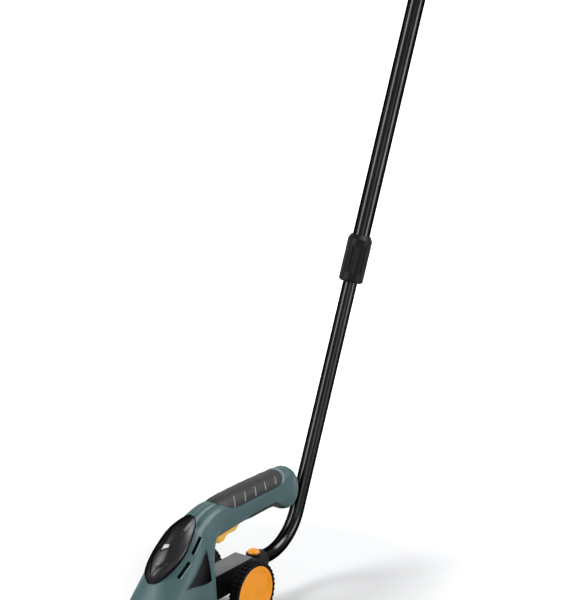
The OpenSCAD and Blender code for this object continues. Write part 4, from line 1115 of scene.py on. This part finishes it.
def floor_material():
    """White that takes shadows near the part and glows away from it."""
    mat = bpy.data.materials.new("floor_white")
    mat.use_nodes = True
    nodes, links = mat.node_tree.nodes, mat.node_tree.links
    shade = nodes.new("ShaderNodeBsdfDiffuse")
    shade.inputs["Color"].default_value = FLOOR_COLOUR
    place = nodes.new("ShaderNodeNewGeometry")
    away = nodes.new("ShaderNodeVectorMath")
    away.operation = "LENGTH"
    links.new(place.outputs["Position"], away.inputs[0])
    rise = nodes.new("ShaderNodeMapRange")
    rise.inputs["From Min"].default_value = FLOOR_NEAR
    rise.inputs["From Max"].default_value = FLOOR_FAR
    rise.inputs["To Max"].default_value = FLOOR_GLOW
    links.new(away.outputs["Value"], rise.inputs["Value"])
    glow = nodes.new("ShaderNodeEmission")
    links.new(rise.outputs["Result"], glow.inputs["Strength"])
    lit = nodes.new("ShaderNodeAddShader")
    links.new(shade.outputs[0], lit.inputs[0])
    links.new(glow.outputs[0], lit.inputs[1])
    mix_seen(nodes, links, shade, lit, next(n for n in nodes if n.type == "OUTPUT_MATERIAL"))
    return mat


def make_floor():
    mesh = bpy.data.meshes.new("floor")
    corners = [(FLOOR_HALF * x, FLOOR_HALF * y, 0) for x, y in ((-1, -1), (1, -1), (1, 1), (-1, 1))]
    mesh.from_pydata(corners, [], [(0, 1, 2, 3)])
    mesh.materials.append(floor_material())
    floor = add_object("floor", mesh)


def make_world():
    world = bpy.data.worlds.new("studio")
    bpy.context.scene.world = world
    world.use_nodes = True
    nodes, links = world.node_tree.nodes, world.node_tree.links
    nodes.clear()
    levels = []
    for strength in (SKY_LEVEL, 1.0):
        level = nodes.new("ShaderNodeBackground")
        level.inputs["Color"].default_value = (1, 1, 1, 1)
        level.inputs["Strength"].default_value = strength
        levels.append(level)
    mix_seen(nodes, links, *levels, nodes.new("ShaderNodeOutputWorld"))


def add_light(name, at, target, size, watts, along=None):
    """A soft box; one whose long side runs along a direction only shows as gloss."""
    data = bpy.data.lights.new(name, "AREA")
    data.shape = "RECTANGLE"
    data.size, data.size_y = size
    data.energy = watts
    obj = add_object(name, data)
    out = (Vector(at) - Vector(target)).normalized()
    side = Vector(along or (0, 0, 1)).cross(out).normalized()
    turn = Matrix((side, out.cross(side), out)).transposed().to_4x4()
    obj.matrix_world = Matrix.Translation(Vector(at)) @ turn
    obj.visible_diffuse = along is None


def make_lights():
    add_light("key", (-1.05, -1.1, 1.55), (0, -0.2, 0.1), (0.8, 0.8), 24)
    add_light("over", (0.8, 0.85, 1.8), (0, -0.15, 0.1), (0.8, 0.8), 14)
    add_light("back", (-1.3, 1.75, 0.95), (0, -0.15, 0.05), (1.4, 0.7), 6)
    add_light("fill", (1.6, -1.5, 0.6), (0, -0.15, 0.1), (1.0, 1.0), 12)
    add_light("sheen", (0.95, 0.7, 1.75), (0, -0.15, 0.1), (1.2, 1.2), 110, (0, 1, 0))
    add_light("left_strip", (-0.78, -1.57, 1.06), (0, 0.18, 0.46), (0.6, 1.5), 60, POLE_AXIS)
    add_light("right_strip", (1.98, 0.42, 0.42), (0, 0.22, 0.6), (0.6, 0.8), 36, POLE_AXIS)


dress_nodes()
make_housing()
make_pad()
make_lamp()
make_upper_grip()
make_lower_grip()
make_ribs()
make_bead()
make_badges()
make_trigger()
make_wheels()
make_trolley()
make_button()
make_lower_tube()
make_upper_tube()
make_collar()
make_pole_grip()
make_small_parts()
make_springs()
make_camera()
make_floor()
make_world()
make_lights()
bpy.context.scene.view_settings.view_transform = "Standard"
